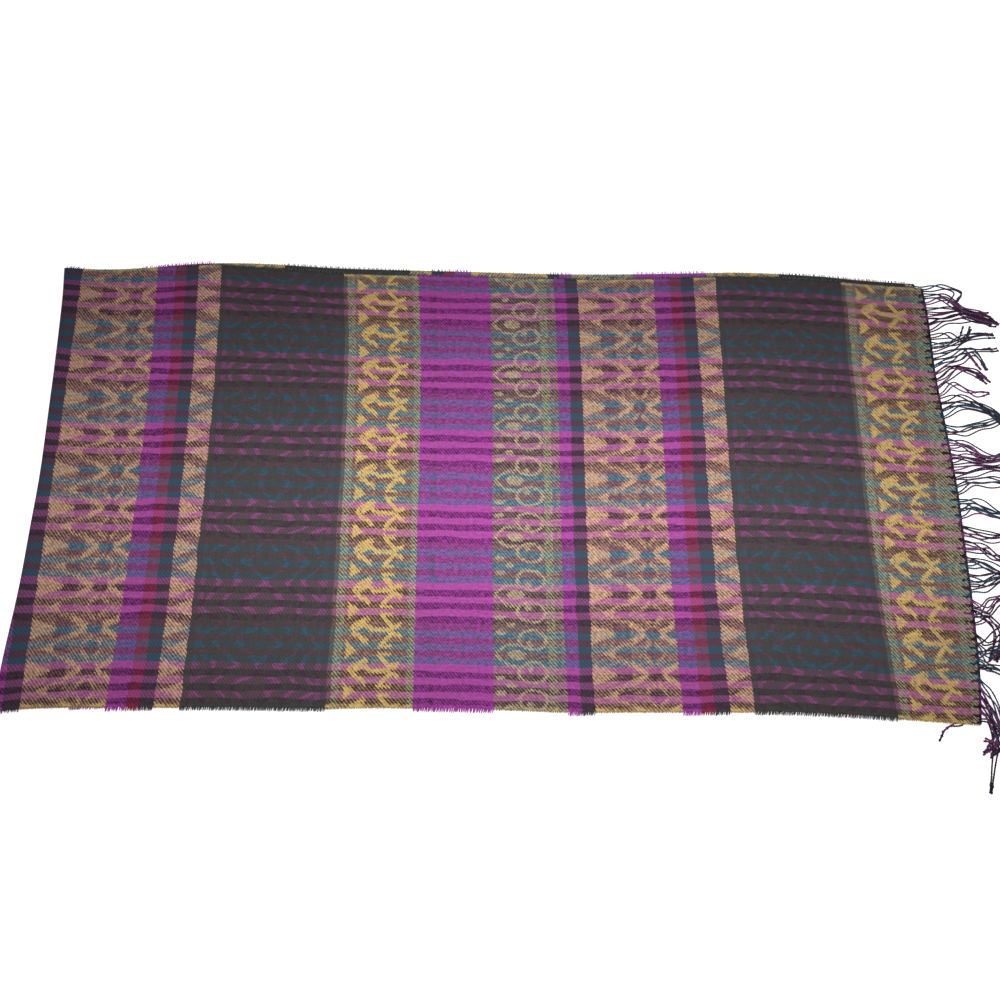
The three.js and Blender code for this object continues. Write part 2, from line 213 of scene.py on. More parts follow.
# The cloth's threads don't lie quite straight. BAND_WANDER is how far along a band has slid, and
# STRIPE_WANDER how far forward a stripe has, in mm, at the back, the middle and the front.
Slide = namedtuple("Slide", "along back middle front")
BAND_WANDER = [
    Slide(-6, -3.5, 0.5, 2.4),
    Slide(18, 3.0, 3.4, 2.4),
    Slide(90, -1.5, 2.2, -2.6),
    Slide(130, -1.5, 2.0, -2.4),
    Slide(170, 0.0, 2.4, -0.6),
    Slide(307, -1.8, 3.3, 1.0),
    Slide(377, -0.4, 3.8, 3.8),
    Slide(452, -2.5, 0.7, 2.0),
    Slide(527, -2.6, -0.4, 2.2),
    Slide(640, -2.0, -1.2, 3.0),
    Slide(690, -0.6, -0.4, 5.4),
    Slide(830, -4.4, -5.8, 0.6),
    Slide(915, -2.0, -3.0, 0.0),
]
STRIPE_WANDER = [
    Slide(0, -6.5, -4.0, 2.6),
    Slide(60, -2.2, -1.0, 1.0),
    Slide(110, -0.8, 0.0, 0.0),
    Slide(200, 1.2, 1.5, 0.2),
    Slide(300, 1.2, 1.0, 0.2),
    Slide(390, 2.9, 2.4, 1.3),
    Slide(480, 2.8, 2.2, 1.3),
    Slide(540, 0.6, 0.8, 0.4),
    Slide(610, -0.8, 0.5, 0.9),
    Slide(690, -0.9, -0.1, 0.1),
    Slide(780, -0.3, 0.5, 0.8),
    Slide(860, 1.9, 1.4, 2.0),
    Slide(915, 2.2, 1.5, 1.9),
]

# The share of the half width at which the back and front columns hold, and the power by which they fade
# towards the middle.
Slack = namedtuple("Slack", "at power")
BACK_SLACK = Slack(0.85, 2.6)
FRONT_SLACK = Slack(0.9, 2.2)
SELVEDGE_POWER = 12  # a high power holds the stripes to the selvedge beside it alone

# Figures of the bands. A wedge runs along the cloth from start to end, in mm from its band's first edge.
# Its middle line starts at middle (mm towards the back from the figure's centre) and climbs by slant, and
# its half height starts at half and changes by taper. A ring is an oval outline with its thickness, and one
# as thick as it is wide is a filled oval. A figure's first centre is so many mm from the back selvedge, and
# it comes back after its repeat. Its cover is how much of it is weft: a high one is weft-faced and a low
# one is warp-faced.
Wedge = namedtuple("Wedge", "start end middle slant half taper")
Ring = namedtuple("Ring", "along up wide tall thick")
Figure = namedtuple("Figure", "band centre repeat cover wedges rings")


def mirrored(*shapes):
    """Wedges or rings with their mirror images across the figure's centre line."""
    pairs = []
    for shape in shapes:
        turned = {name: -getattr(shape, name) for name in ("middle", "slant", "up") if hasattr(shape, name)}
        pairs += [shape, shape._replace(**turned)]
    return pairs


FIGURE_REPEAT = 38.9
FIGURE_CENTRE = 33.4
BETWEEN = FIGURE_REPEAT / 2  # halfway to the next figure
SCROLL_REPEAT = 58.35
SCROLL_CENTRE = 55.05
FIGURES = [
    # Barbed hooks, from the green fade's edge, with an arrow head between one and the next.
    Figure("green fade", FIGURE_CENTRE, FIGURE_REPEAT, 0.84, [
        Wedge(17.5, 22.0, 0.0, 0.35, 2.0, 0.8),
        Wedge(22.0, 33.0, 1.6, 0.58, 5.4, -0.03),
        Wedge(33.0, 35.5, 8.5, 0.4, 4.5, -1.0),
        Wedge(20.0, 34.5, -2.8, -0.66, 2.7, 0.0),
        Wedge(31.0, 38.0, 5.0, -0.75, 2.6, 0.0),
        Wedge(36.0, 56.0, -0.3, 0.0, 2.3, 0.0),
        Wedge(45.5, 56.0, 14.8, -1.2, 3.3, 0.0),
        Wedge(45.5, 56.0, -15.3, 1.2, 3.3, 0.0),
        Wedge(44.5, 56.0, 15.0, 0.0, 1.6, 0.0),
        Wedge(44.5, 56.0, -15.6, 0.0, 1.5, 0.0),
        Wedge(54.0, 64.0, 1.5, 0.35, 2.8, -0.05),
        Wedge(54.0, 64.0, -1.8, -0.45, 2.8, -0.05),
        *mirrored(Wedge(15.0, 25.4, BETWEEN, 0.0, 8.2, -0.75)),
    ], []),
    # Stars, each with a pencil beside it: what is weft-faced, half of each and warp-faced.
    Figure("stars", FIGURE_CENTRE, FIGURE_REPEAT, 0.70, [
        Wedge(0.5, 23.0, 0.0, 0.0, 10.2, -0.40),
        *mirrored(
            Wedge(12.0, 23.0, BETWEEN, 0.0, 0.4, 0.42),
            Wedge(37.5, 52.5, 9.2, -0.60, 2.9, 0.0),
            Wedge(67.0, 81.5, 1.2, 0.58, 3.0, 0.0),
        ),
    ], []),
    Figure("stars", FIGURE_CENTRE, FIGURE_REPEAT, 0.50, mirrored(
        Wedge(23.0, 37.5, -14.0, 0.33, 1.3, 0.0),
        Wedge(50.5, 58.5, 15.5, -0.85, 2.4, 0.0),
        Wedge(61.5, 68.5, 9.5, 0.9, 2.4, 0.0),
    ), []),
    Figure("stars", FIGURE_CENTRE, FIGURE_REPEAT, 0.10, [
        Wedge(22.8, 38.0, 0.0, 0.0, 9.4, -0.30),
        Wedge(53.5, 60.0, 0.0, 0.0, 1.6, 1.1),
        Wedge(60.0, 66.5, 0.0, 0.0, 8.8, -1.1),
        Wedge(74.0, 82.0, 0.0, 0.0, 0.2, 0.6),
        *mirrored(
            Wedge(23.0, 37.5, BETWEEN, 0.0, 0.4, 0.29),
            Wedge(53.5, 60.0, BETWEEN, 0.0, 1.6, 0.85),
            Wedge(60.0, 66.8, BETWEEN, 0.0, 7.2, -0.85),
        ),
    ], []),
    # A row of triangles from each side.
    Figure("triangles", FIGURE_CENTRE, FIGURE_REPEAT, 0.64, [
        Wedge(0.5, 22.0, 0.0, 0.0, 10.2, -0.46),
        *mirrored(Wedge(5.0, 23.3, BETWEEN, 0.0, 0.4, 0.47)),
    ], []),
    # Scrolls in pairs, on a stalk that forks.
    Figure("scrolls", SCROLL_CENTRE, SCROLL_REPEAT, 0.66, mirrored(
        Wedge(2.0, 13.0, 0.5, 0.82, 1.5, 0.0),
        Wedge(13.0, 23.0, 9.4, 0.1, 1.3, 0.0),
    ), mirrored(
        Ring(37.0, 15.8, 14.4, 10.6, 3.2),
        Ring(34.5, 10.8, 3.0, 3.2, 3.0),
        Ring(17.0, SCROLL_REPEAT / 2, 4.0, 2.6, 4.0),
        Ring(7.0, 22.0, 5.0, 2.4, 5.0),
    ) + [Ring(22.0, 0.0, 8.5, 4.5, 8.5)]),
]
# The band that a figure stands in, where it isn't the one that the figure is measured from.
FIGURE_GROUND = {"green fade": "hooks"}

# Broken rings of flecks on the plain grounds, where the warp comes up: the band, their middle in it (mm from
# its first edge), how far apart they are, how many mm they come back after and their cover.
Flecks = namedtuple("Flecks", "band middle apart repeat cover")
FLECKS = [
    Flecks("green field", 56.5, 20.0, 39.85, 0.30),
    Flecks("magenta field", 19.5, 16.0, 39.85, 0.26),
]

# The yarns, weft by name and warp by its letter in STRIPES.
COLOURS = {
    "magenta": "#B63CAF",
    "dark": "#40373F",
    "peach": "#CEA680",
    "gold": "#D2B26A",
    "sand": "#B9A884",
    "crimson": "#962044",
    "green": "#403E3B",
    "faded": "#625C3E",
    "olive": "#A6A678",
    "M": "#9E4C8C",
    "D": "#3A1D36",
    "R": "#5F3A4F",
    "T": "#1A5D78",
}


# ---- Helpers ----

def linear(code):
    """An sRGB hex colour as linear red, green and blue."""
    levels = [int(code[i:i + 2], 16) / 255 for i in (1, 3, 5)]
    return tuple(c / 12.92 if c <= 0.04045 else ((c + 0.055) / 1.055) ** 2.4 for c in levels)


def column(table, source, target, at):
    """A smooth curve through one column of a table: cubic between rows, level outside them."""
    xs = np.array([getattr(row, source) for row in table], float)
    ys = np.array([getattr(row, target) for row in table], float)
    below = np.maximum(np.arange(len(xs)) - 1, 0)
    above = np.minimum(np.arange(len(xs)) + 1, len(xs) - 1)
    slopes = (ys[above] - ys[below]) / (xs[above] - xs[below])
    at = np.clip(at, xs[0], xs[-1])
    i = np.clip(np.searchsorted(xs, at, side="right") - 1, 0, len(xs) - 2)
    span = xs[i + 1] - xs[i]
    climb = ys[i + 1] - ys[i]
    t = (at - xs[i]) / span
    bend = (1 - t) * (slopes[i] * span - climb) + t * (climb - slopes[i + 1] * span)
    return ys[i] + t * climb + t * (1 - t) * bend


def ease(start, end, at):
    """0 at or below start, 1 at or above end, and smooth between them."""
    t = np.clip((at - start) / (end - start), 0, 1)
    return t * t * (3 - 2 * t)


def scatter(index, salt):
    """A repeatable spread of values from -1 to 1."""
    return np.sin(np.asarray(index) * 12.9898 + salt * 78.233)


def drift_at(x):
    return column(LIE_ALONG, "along", "drift", x)


def half_width_at(x):
    return HALF_WIDTH + column(LIE_ALONG, "along", "spread", x)


def fold_at(across):
    return column(LIE_ACROSS, "across", "fold", across)


def upper_end_at(across):
    return HALF_LENGTH + column(LIE_ACROSS, "across", "end", across)


def under_end_at(across):
    return upper_end_at(across) - UNDER_SHORT


def upper_rows_end(across):
    """End of the upper layer with its last rows of weft, from which its fringe hangs."""
    return upper_end_at(across) + END_ROWS


def under_rows_end(across):
    return under_end_at(across) + END_ROWS


def upper_side(x, across):
    return drift_at(x) + across * half_width_at(x)


def upper_lie(x, across):
    """Where the upper layer lies: its back selvedge is drawn in a little, which bares the under layer's."""
    drawn = BACK_DRAWN * ease(*BACK_DRAWN_SPAN, x) * (1 - BACK_LET_OUT * ease(*BACK_LET_OUT_SPAN, x))
    return upper_side(x, across) - drawn * np.maximum(across, 0) ** BACK_DRAWN_POWER


def under_side(x, across):
    return upper_side(x, across) + UNDER_SHIFT * ease(*UNDER_SHIFT_SPAN, x)


def frame_shift():
    """What takes a place in the cloth's own millimetres to the frame: both have the same upper layer."""
    low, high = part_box("upper_layer")
    across = np.linspace(-1, 1, 201)
    start = fold_at(across).min() - WALL / 2
    along = np.linspace(0, HALF_LENGTH, 801)
    middle = (upper_side(along, -1).min() + upper_side(along, 1).max()) / 2
    return np.array([low.x / MM - start, (low.y + high.y) / 2 / MM - middle, 0])


SHIFT = frame_shift()


def ridges_at(x, y):
    """Height of the soft ridges and small waves."""
    total = np.zeros(np.broadcast(x, y).shape)
    for ridge in RIDGES:
        heading = math.radians(ridge.heading)
        dx, dy = x - ridge.along, y - ridge.across
        lengthwise = np.abs(dx * math.cos(heading) + dy * math.sin(heading)) / ridge.reach
        sideways = (dy * math.cos(heading) - dx * math.sin(heading)) / ridge.spread
        swell = np.where(lengthwise < 1, np.cos(np.minimum(lengthwise, 1) * math.pi / 2) ** 2, 0)
        total += ridge.rise * swell * np.exp(-sideways ** 2)
    for i, wave in enumerate(WAVES):
        heading = math.radians(wave.heading)
        place = x * math.cos(heading) + y * math.sin(heading)
        wander = np.sin((y * math.cos(heading) - x * math.sin(heading)) / (wave.length * 0.9) + i)
        total += wave.rise * (1 + np.sin(2 * math.pi * place / wave.length + 1.6 * wander + i))
    return total


def upper_height(x, y, from_fold, to_end):
    """Middle of the woven cloth's upper layer, with its top where the solid's is."""
    raised = (WALL - THICKNESS) / 2
    on_under = WALL + SEAM_GAP + WALL / 2 + raised
    on_roll = WALL / 2 + 2 * ROLL_RADIUS + raised
    settled = ease(ROLL_RADIUS, SETTLE, from_fold)
    near_end = ease(0, END_RISE_SPAN, to_end)
    flat = on_roll + (on_under - on_roll) * settled
    return flat + ridges_at(x, y) * settled * near_end + END_RISE * (1 - near_end)


def pattern_at(x):
    """Place in the bands' order, in mm, of a place along the upper layer. It runs on round the fold."""
    before = np.minimum(x - PLACES[0], 0)
    return np.minimum(np.interp(x, PLACES, ORDER), ORDER[-1] - STOP_SHORT) + before


def wander(table, x, across):
    """How far the threads have slid at a place. The selvedges are slacker than the middle is."""
    middle = column(table, "along", "middle", x)
    total = middle
    for side, slack, outward in (("back", BACK_SLACK, across), ("front", FRONT_SLACK, -across)):
        extra = column(table, "along", side, x) - middle
        total = total + extra * np.maximum(outward / slack.at, 0) ** slack.power
    return total


def slid_at(x, across):
    return wander(BAND_WANDER, x, across)


def warp_at(x, across):
    """Distance from the back selvedge along the weft, as the warp stripes run."""
    free = 1 - np.abs(across) ** SELVEDGE_POWER
    return HALF_WIDTH * (1 - across) - wander(STRIPE_WANDER, x, across) * free


def mesh_piece(name, points, faces, material, uvs=None, values=None):
    """A smooth mesh object: points in the cloth's millimetres, uvs for each corner and values for each
    point."""
    mesh = bpy.data.meshes.new(name)
    mesh.from_pydata(((points + SHIFT) * MM).tolist(), [], faces)
    for map_name, places in (uvs or {}).items():
        layer = mesh.uv_layers.new(name=map_name)
        layer.data.foreach_set("uv", np.asarray(places, np.float32).ravel())
    for value_name, numbers in (values or {}).items():
        attribute = mesh.attributes.new(value_name, "FLOAT", "POINT")
        attribute.data.foreach_set("value", np.asarray(numbers, np.float32))
    mesh.shade_smooth()
    mesh.materials.append(material)
    piece = bpy.data.objects.new(name, mesh)
    bpy.context.scene.collection.objects.link(piece)
    return piece


# ---- Materials ----

def node(tree, kind, feeds=(), operation=None, **settings):
    """Adds a node with its settings, and links or sets its inputs in order. None leaves an input alone."""
    added = tree.nodes.new("ShaderNode" + kind)
    if operation:
        added.operation = operation
    for name, value in settings.items():
        setattr(added, name, value)
    inputs = [socket for socket in added.inputs if socket.enabled]
    for socket, feed in zip(inputs, feeds):
        if isinstance(feed, bpy.types.NodeSocket):
            tree.links.new(feed, socket)
        elif feed is not None:
            socket.default_value = feed
    outputs = [socket for socket in added.outputs if socket.enabled]
    return outputs[0] if len(outputs) == 1 else outputs


def new_group(name, inputs, outputs):
    """An empty node group: its tree, what adds a node to it, and its input and output sockets."""
    tree = bpy.data.node_groups.new(name, "ShaderNodeTree")
    for socket in inputs:
        tree.interface.new_socket(socket, in_out="INPUT", socket_type="NodeSocketFloat")
    for socket, kind in outputs:
        tree.interface.new_socket(socket, in_out="OUTPUT", socket_type="NodeSocket" + kind)
    given = tree.nodes.new("NodeGroupInput").outputs
    result = tree.nodes.new("NodeGroupOutput").inputs
    return tree, partial(node, tree), given, result


def weft_group(colours):
    """Yarn colour, cover and twill depth of the weft bands at a place in their order."""
    tree, add, given, result = new_group(
        "weft_bands", ["place"], [("yarn", "Color"), ("cover", "Float"), ("twill", "Float")]
    )
    place = add("Math", [given["place"], REPEAT, 0.0], "WRAP")
    yarn, cover, twill = colours[BANDS[0].yarn], BANDS[0].cover, BANDS[0].twill
    for last, band in zip(BANDS, BANDS[1:]):
        past = add("Math", [place, BAND_START[band.name]], "GREATER_THAN")
        yarn = add("Mix", [past, yarn, colours[band.yarn]], data_type="RGBA")
        cover = add("Math", [past, band.cover - last.cover, cover], "MULTIPLY_ADD")
        twill = add("Math", [past, band.twill - last.twill, twill], "MULTIPLY_ADD")
    for socket, feed in (("yarn", yarn), ("cover", cover), ("twill", twill)):
        tree.links.new(feed, result[socket])
    return tree


def warp_group(colours):
    """Yarn colour of the warp stripes at a distance from the back selvedge."""
    tree, add, given, result = new_group("warp_stripes", ["place"], [("yarn", "Color")])
    first_edge = FIRST_STRIPE - STRIPE / 2
    length = STRIPE * len(STRIPES)
    share = add("Math", [given["place"], 1 / length, -first_edge / length], "MULTIPLY_ADD")
    share = add("Math", [share, 1.0, 0.0], "WRAP")
    ramp_colour, _ = add("ValToRGB", [share])
    ramp = ramp_colour.node.color_ramp
    soft = 0.06 / len(STRIPES)  # neighbouring ends mingle over a few threads
    for i, stripe in enumerate(STRIPES):
        for position in (i / len(STRIPES) + soft, (i + 1) / len(STRIPES) - soft):
            stop = ramp.elements.new(position)
            stop.color = colours[stripe]
    ramp.elements.remove(ramp.elements[0])
    ramp.elements.remove(ramp.elements[-1])
    tree.links.new(ramp_colour, result["yarn"])
    return tree


def shared_group(name, make, colours):
    """A node group that several materials use, made for the first of them."""
    return bpy.data.node_groups.get(name) or make(colours)


def three(rows, value, empty):
    """A value of three rows as one vector, so that one node works on three shapes."""
    numbers = [value(row) for row in rows]
    return tuple(numbers + [empty] * (3 - len(numbers)))


def figure_depth(add, figure, place, warp_place):
    """How far inside a band's figure a place is, in mm."""
    along = add("Math", [place, BAND_START[figure.band]], "SUBTRACT")
    half = figure.repeat / 2
    up = add("Math", [figure.centre, warp_place], "SUBTRACT")
    up = add("Math", [up, half, -half], "WRAP")
    depth = None
    for i in range(0, len(figure.wedges), 3):
        rows = figure.wedges[i:i + 3]
        slants = three(rows, lambda w: w.slant, 0)
        middles = three(rows, lambda w: w.middle - w.slant * w.start, 0)
        tapers = three(rows, lambda w: w.taper, 0)
        halves = three(rows, lambda w: w.half - w.taper * w.start, -REPEAT)
        centres = three(rows, lambda w: (w.start + w.end) / 2, 0)
        reaches = three(rows, lambda w: (w.end - w.start) / 2, 0)
        line = add("VectorMath", [along, slants, middles], "MULTIPLY_ADD")
        off = add("VectorMath", [up, line], "SUBTRACT")
        off = add("VectorMath", [off], "ABSOLUTE")
        tall = add("VectorMath", [along, tapers, halves], "MULTIPLY_ADD")
        inside = add("VectorMath", [tall, off], "SUBTRACT")
        away = add("VectorMath", [along, centres], "SUBTRACT")
        away = add("VectorMath", [away], "ABSOLUTE")
        within = add("VectorMath", [reaches, away], "SUBTRACT")
        inside = add("VectorMath", [inside, within], "MINIMUM")
        depth = inside if depth is None else add("VectorMath", [depth, inside], "MAXIMUM")
    x, y, z = add("SeparateXYZ", [depth])
    depth = add("Math", [x, y], "MAXIMUM")
    depth = add("Math", [depth, z], "MAXIMUM")
    spot = add("CombineXYZ", [along, up])
    for ring in figure.rings:
        from_ring = add("VectorMath", [spot, (ring.along, ring.up, 0)], "SUBTRACT")
        scaled = add("VectorMath", [from_ring, (ring.wide, ring.tall, 1)], "DIVIDE")
        radius = add("VectorMath", [scaled], "LENGTH")
        middle = 1 - ring.thick / 2 / ring.wide
        off = add("Math", [radius, middle], "SUBTRACT")
        off = add("Math", [off], "ABSOLUTE")
        inside = add("Math", [off, -ring.wide, ring.thick / 2], "MULTIPLY_ADD")
        depth = add("Math", [depth, inside], "MAXIMUM")
    return depth


def figure_group():
    """How much the figures add to the weft's cover or take from it, at a place of the pattern."""
    tree, add, given, result = new_group(
        "woven_figures", ["place", "warp place", "stray", "line", "grain"], [("raise", "Float")]
    )
    place = add("Math", [given["place"], REPEAT, 0.0], "WRAP")
    warp_place = given["warp place"]
    soft = 0.6  # mm over which a figure's edge steps from thread to thread
    step = 0.9  # mm by which the twill lines notch it
    crisp = 1.2  # how sharp the rings of flecks are
    breaks, missing = 2.6, 0.45  # how the grain breaks them
    covers = {band.name: band.cover for band in BANDS}
    total = 0.0
    for figure in FIGURES:
        depth = figure_depth(add, figure, place, warp_place)
        depth = add("Math", [given["line"], step, depth], "MULTIPLY_ADD")
        share = add("Math", [depth, 1 / soft, 0.5], "MULTIPLY_ADD", use_clamp=True)
        change = figure.cover - covers[FIGURE_GROUND.get(figure.band, figure.band)]
        total = add("Math", [share, change, total], "MULTIPLY_ADD")
    for flecks in FLECKS:
        band = next(band for band in BANDS if band.name == flecks.band)
        half = flecks.repeat / 2
        along = add("Math", [place, BAND_START[band.name] + flecks.middle], "SUBTRACT")
        along = add("Math", [along], "ABSOLUTE")
        up = add("Math", [warp_place, half, -half], "WRAP")
        up = add("Math", [up], "ABSOLUTE")
        ring = add("Math", [along, up], "ADD")
        ring = add("Math", [ring, given["stray"]], "ADD")
        ring = add("Math", [ring, 2 * math.pi / flecks.apart], "MULTIPLY")
        ring = add("Math", [ring], "COSINE")
        broken = add("Math", [given["grain"], breaks, -missing], "MULTIPLY_ADD")
        share = add("Math", [ring, crisp, broken], "MULTIPLY_ADD", use_clamp=True)
        within = add("Math", [along, band.width / 2], "LESS_THAN")
        share = add("Math", [share, within], "MULTIPLY")
        total = add("Math", [share, flecks.cover - band.cover, total], "MULTIPLY_ADD")
    tree.links.new(total, result["raise"])
    return tree


def new_material(name, roughness, sheen):
    """A cloth material with its shader's own values: its tree, what adds a node to it, and the shader."""
    material = bpy.data.materials.new(name)
    material.use_nodes = True
    tree = material.node_tree
    shader = tree.nodes["Principled BSDF"]
    shader.inputs["Roughness"].default_value = roughness
    shader.inputs["IOR"].default_value = 1.47
    shader.inputs["Specular IOR Level"].default_value = 0.25
    shader.inputs["Sheen Weight"].default_value = sheen
    shader.inputs["Sheen Roughness"].default_value = 0.45
    return material, tree, partial(node, tree), shader


def colour_table(settings):
    """The yarns' colours with their alpha, as sockets want them."""
    return {name: (*getattr(settings, "yarn_" + name), 1.0) for name in COLOURS}


# Streaks and grain: how many there are to a mm along the warp and along the weft.
STRAY_PER_MM = (0.035, 0.06)
GRAIN_PER_MM = (0.26, 0.42)
WEFT_SLUBS_PER_MM = (0.9, 0.03)
WARP_SLUBS_PER_MM = (0.03, 0.9)
STRAY_SPAN = (3.4, 4.6, 26.0)  # mm between the farthest strays: of a band, of a stripe and of a fleck's ring
SLUB_DEPTH = 0.5  # how much lighter and darker an uneven yarn gets
GRAIN_DEPTH = 1.1  # how much single threads change the cover where weft and warp share the ground
THREAD_GLINT_AND_SHADE = 0.7  # painted glints and painted shade: how much lighter or darker single threads are made
PLAIN_ROWS = 9.5  # mm without figures before the fringe
BOUND_ROWS = 2.4  # mm of them, the last, which are as dark as the notches
NOTCH_HALF = 3.1  # half width in mm of a notch of painted shade between two tassels, at the cloth's end
NOTCH_NARROWS = 2.6  # mm of that, lost where the plain rows begin
NOTCH_RAGGED = 7.0  # mm by which the grain frays a notch's sides
NOTCH_SHADE = (0.3, 0.27, 0.34)  # painted shade: how much darker the warp is made in a notch, where the gap between two tassels lies in shade
SELVEDGE_FACED = 1.8  # mm of weft-faced selvedge
SELVEDGE_FADE = 2.0  # mm in which it passes into the cloth
SELVEDGE_COVER = 0.35  # how much more of it the weft covers
FANCY_TWILL = 0.33  # bands with a deeper twill than this have a gold selvedge


def streaks(add, threads, per_mm, rough=0.5):
    """Uneven streaks along the threads: their strength and three of them as a colour."""
    stretched = add("VectorMath", [threads, (*per_mm, 1.0)], "MULTIPLY")
    return add("TexNoise", [stretched, 1.0, 1.0, rough])


def slubbed(add, threads, yarn, per_mm):
    """The colour of uneven yarn, which is a little lighter or darker along its length."""
    slub = streaks(add, threads, per_mm, 0.6)[0]
    shade = add("Math", [slub, SLUB_DEPTH, 1 - SLUB_DEPTH / 2], "MULTIPLY_ADD")
    return add("VectorMath", [yarn, shade], "MULTIPLY")


def fringe_rows(add, warp_place, grain):
    """Whether a place is in the plain rows before the fringe, and how far it is in a notch between them,
    where the warps have drawn apart to the tassels on both sides. The notches are painted shade."""
    to_end = add("Attribute", attribute_name="to_end")[2]
    in_rows = add("Math", [to_end, PLAIN_ROWS], "LESS_THAN")
    half = CLOTH_WIDTH / TASSELS / 2
    off = add("Math", [warp_place, half, -half], "WRAP")
    off = add("Math", [off], "ABSOLUTE")
    off = add("Math", [grain, NOTCH_RAGGED, off], "MULTIPLY_ADD")
    narrows = -NOTCH_NARROWS / PLAIN_ROWS
    reach = add("Math", [to_end, narrows, NOTCH_HALF], "MULTIPLY_ADD")
    notch = add("Math", [reach, off], "SUBTRACT", use_clamp=True)
    bound = add("Math", [to_end, BOUND_ROWS], "LESS_THAN")
    notch = add("Math", [notch, bound], "MAXIMUM")
    return in_rows, add("Math", [notch, in_rows], "MULTIPLY")


def viscose_twill(settings):
    """Viscose twill, woven on coloured warp stripes. The eye sees fine diagonal lines where weft and warp
    share the ground, solid colour where one of them floats over it, and a faint soft shine."""
    material, tree, add, shader = new_material("viscose_twill", 0.78, 0.12)
    colours = colour_table(settings)
    pattern = add("UVMap", uv_map="Pattern")
    threads = add("UVMap", uv_map="Threads")
    along, across, _ = add("SeparateXYZ", [threads])

    # Nothing hand-finished is quite straight: the threads stray by a millimetre or so as they run.
    strays = streaks(add, threads, STRAY_PER_MM)[1]
    middle = tuple(-span / 2 for span in STRAY_SPAN)
    strays = add("VectorMath", [strays, STRAY_SPAN, middle], "MULTIPLY_ADD")
    stray = add("SeparateXYZ", [strays])[2]
    strayed = add("VectorMath", [pattern, strays], "ADD")
    place, warp_place, _ = add("SeparateXYZ", [strayed])
    bands = shared_group("weft_bands", weft_group, colours)
    weft, cover, twill = group_outputs(tree, bands, [place])
    stripes = shared_group("warp_stripes", warp_group, colours)
    warp = group_outputs(tree, stripes, [warp_place])[0]

    # Real twill lines are 2.1 mm apart along the cloth, too fine to show in a render, so these are coarser.
    steep = math.tan(settings.twill_angle)
    pitch = settings.twill_pitch / MM
    phase = add("Math", [across, -1 / steep, along], "MULTIPLY_ADD")
    phase = add("Math", [phase, 2 * math.pi / pitch], "MULTIPLY")
    line = add("Math", [phase], "SINE")

    # Single threads come up here and there a little more or less. They too are drawn coarser, since real
    # ones are about 0.5 mm apart.
    grain = streaks(add, threads, GRAIN_PER_MM)[0]
    grain = add("Math", [grain, 0.5], "SUBTRACT")
    raised = group_outputs(tree, figure_group(), [place, warp_place, stray, line, grain])[0]

    # The last rows before the fringe have no figures.
    in_rows, notch = fringe_rows(add, warp_place, grain)
    weft = add("Mix", [in_rows, weft, colours["olive"]], data_type="RGBA")
    plain = add("Math", [1.0, in_rows], "SUBTRACT")
    raised = add("Math", [raised, plain], "MULTIPLY")

    # The selvedges are weft-faced.
    to_back = add("Math", [CLOTH_WIDTH, across], "SUBTRACT")
    to_side = add("Math", [across, to_back], "MINIMUM")
    fade = (-1 / SELVEDGE_FADE, 1 + SELVEDGE_FACED / SELVEDGE_FADE)
    selvedge = add("Math", [to_side, *fade], "MULTIPLY_ADD", use_clamp=True)
    fancy = add("Math", [twill, FANCY_TWILL], "GREATER_THAN")
    fancy = add("Math", [fancy, selvedge], "MULTIPLY")
    weft = add("Mix", [fancy, weft, colours["gold"]], data_type="RGBA")
    cover = add("Math", [cover, raised], "ADD")
    cover = add("Math", [selvedge, SELVEDGE_COVER, cover], "MULTIPLY_ADD", use_clamp=True)

    # Cloth that is all weft or all warp has no lines, and cloth that is half of each has them in full.
    mixed = add("Math", [1.0, cover], "SUBTRACT")
    mixed = add("Math", [cover, mixed], "MULTIPLY")
    lines = add("Math", [line, twill], "MULTIPLY")
    height = lines
    lines = add("Math", [grain, GRAIN_DEPTH, lines], "MULTIPLY_ADD")
    lines = add("Math", [lines, 4.0], "MULTIPLY")
    cover = add("Math", [mixed, lines, cover], "MULTIPLY_ADD", use_clamp=True)

    weft = slubbed(add, threads, weft, WEFT_SLUBS_PER_MM)
    warp = slubbed(add, threads, warp, WARP_SLUBS_PER_MM)
    colour = add("Mix", [cover, warp, weft], data_type="RGBA")
    # Painted glints on single threads and painted shade between them, from the same grain.
    glint_and_shade = add("Math", [grain, THREAD_GLINT_AND_SHADE, 1.0], "MULTIPLY_ADD")
    colour = add("VectorMath", [colour, glint_and_shade], "MULTIPLY")
    # Painted shade in the notches between the tassels: the warp darkened. The bound rows get the same
    # darkened warp.
    dark = add("VectorMath", [warp, NOTCH_SHADE], "MULTIPLY")
    colour = add("Mix", [notch, colour, dark], data_type="RGBA")
    tree.links.new(colour, shader.inputs["Base Color"])
    bump = add("Bump", [0.7, 0.4 * MM, None, height])
    tree.links.new(bump, shader.inputs["Normal"])
    return material


def group_outputs(tree, group, feeds):
    """Adds a node group, feeds it in order and gives its outputs."""
    added = tree.nodes.new("ShaderNodeGroup")
    added.node_tree = group
    for socket, feed in zip(added.inputs, feeds):
        tree.links.new(feed, socket)
    return list(added.outputs)


def twisted_yarn(settings):
    """Warp ends twisted together by hand. They look darker than the cloth, because light is lost between
    the plies, and each keeps the colour of the stripe that it comes from."""
    material, tree, add, shader = new_material("twisted_viscose_yarn", 0.7, 0.2)
    colours = colour_table(settings)
    place = add("Attribute", attribute_name="warp_place")[2]
    stripes = shared_group("warp_stripes", warp_group, colours)
    warp = group_outputs(tree, stripes, [place])[0]
    deep = add("Mix", [0.5, warp, linear("#1B1B34") + (1.0,)], data_type="RGBA")
    along = add("Attribute", attribute_name="along_yarn")[2]
    spin = add("TexNoise", [add("CombineXYZ", [along, place]), 0.5, 2.0, 0.6])[0]
    shade = add("Math", [spin, 0.9, 0.55], "MULTIPLY_ADD")
    colour = add("VectorMath", [deep, shade], "MULTIPLY")
    tree.links.new(colour, shader.inputs["Base Color"])
    return material


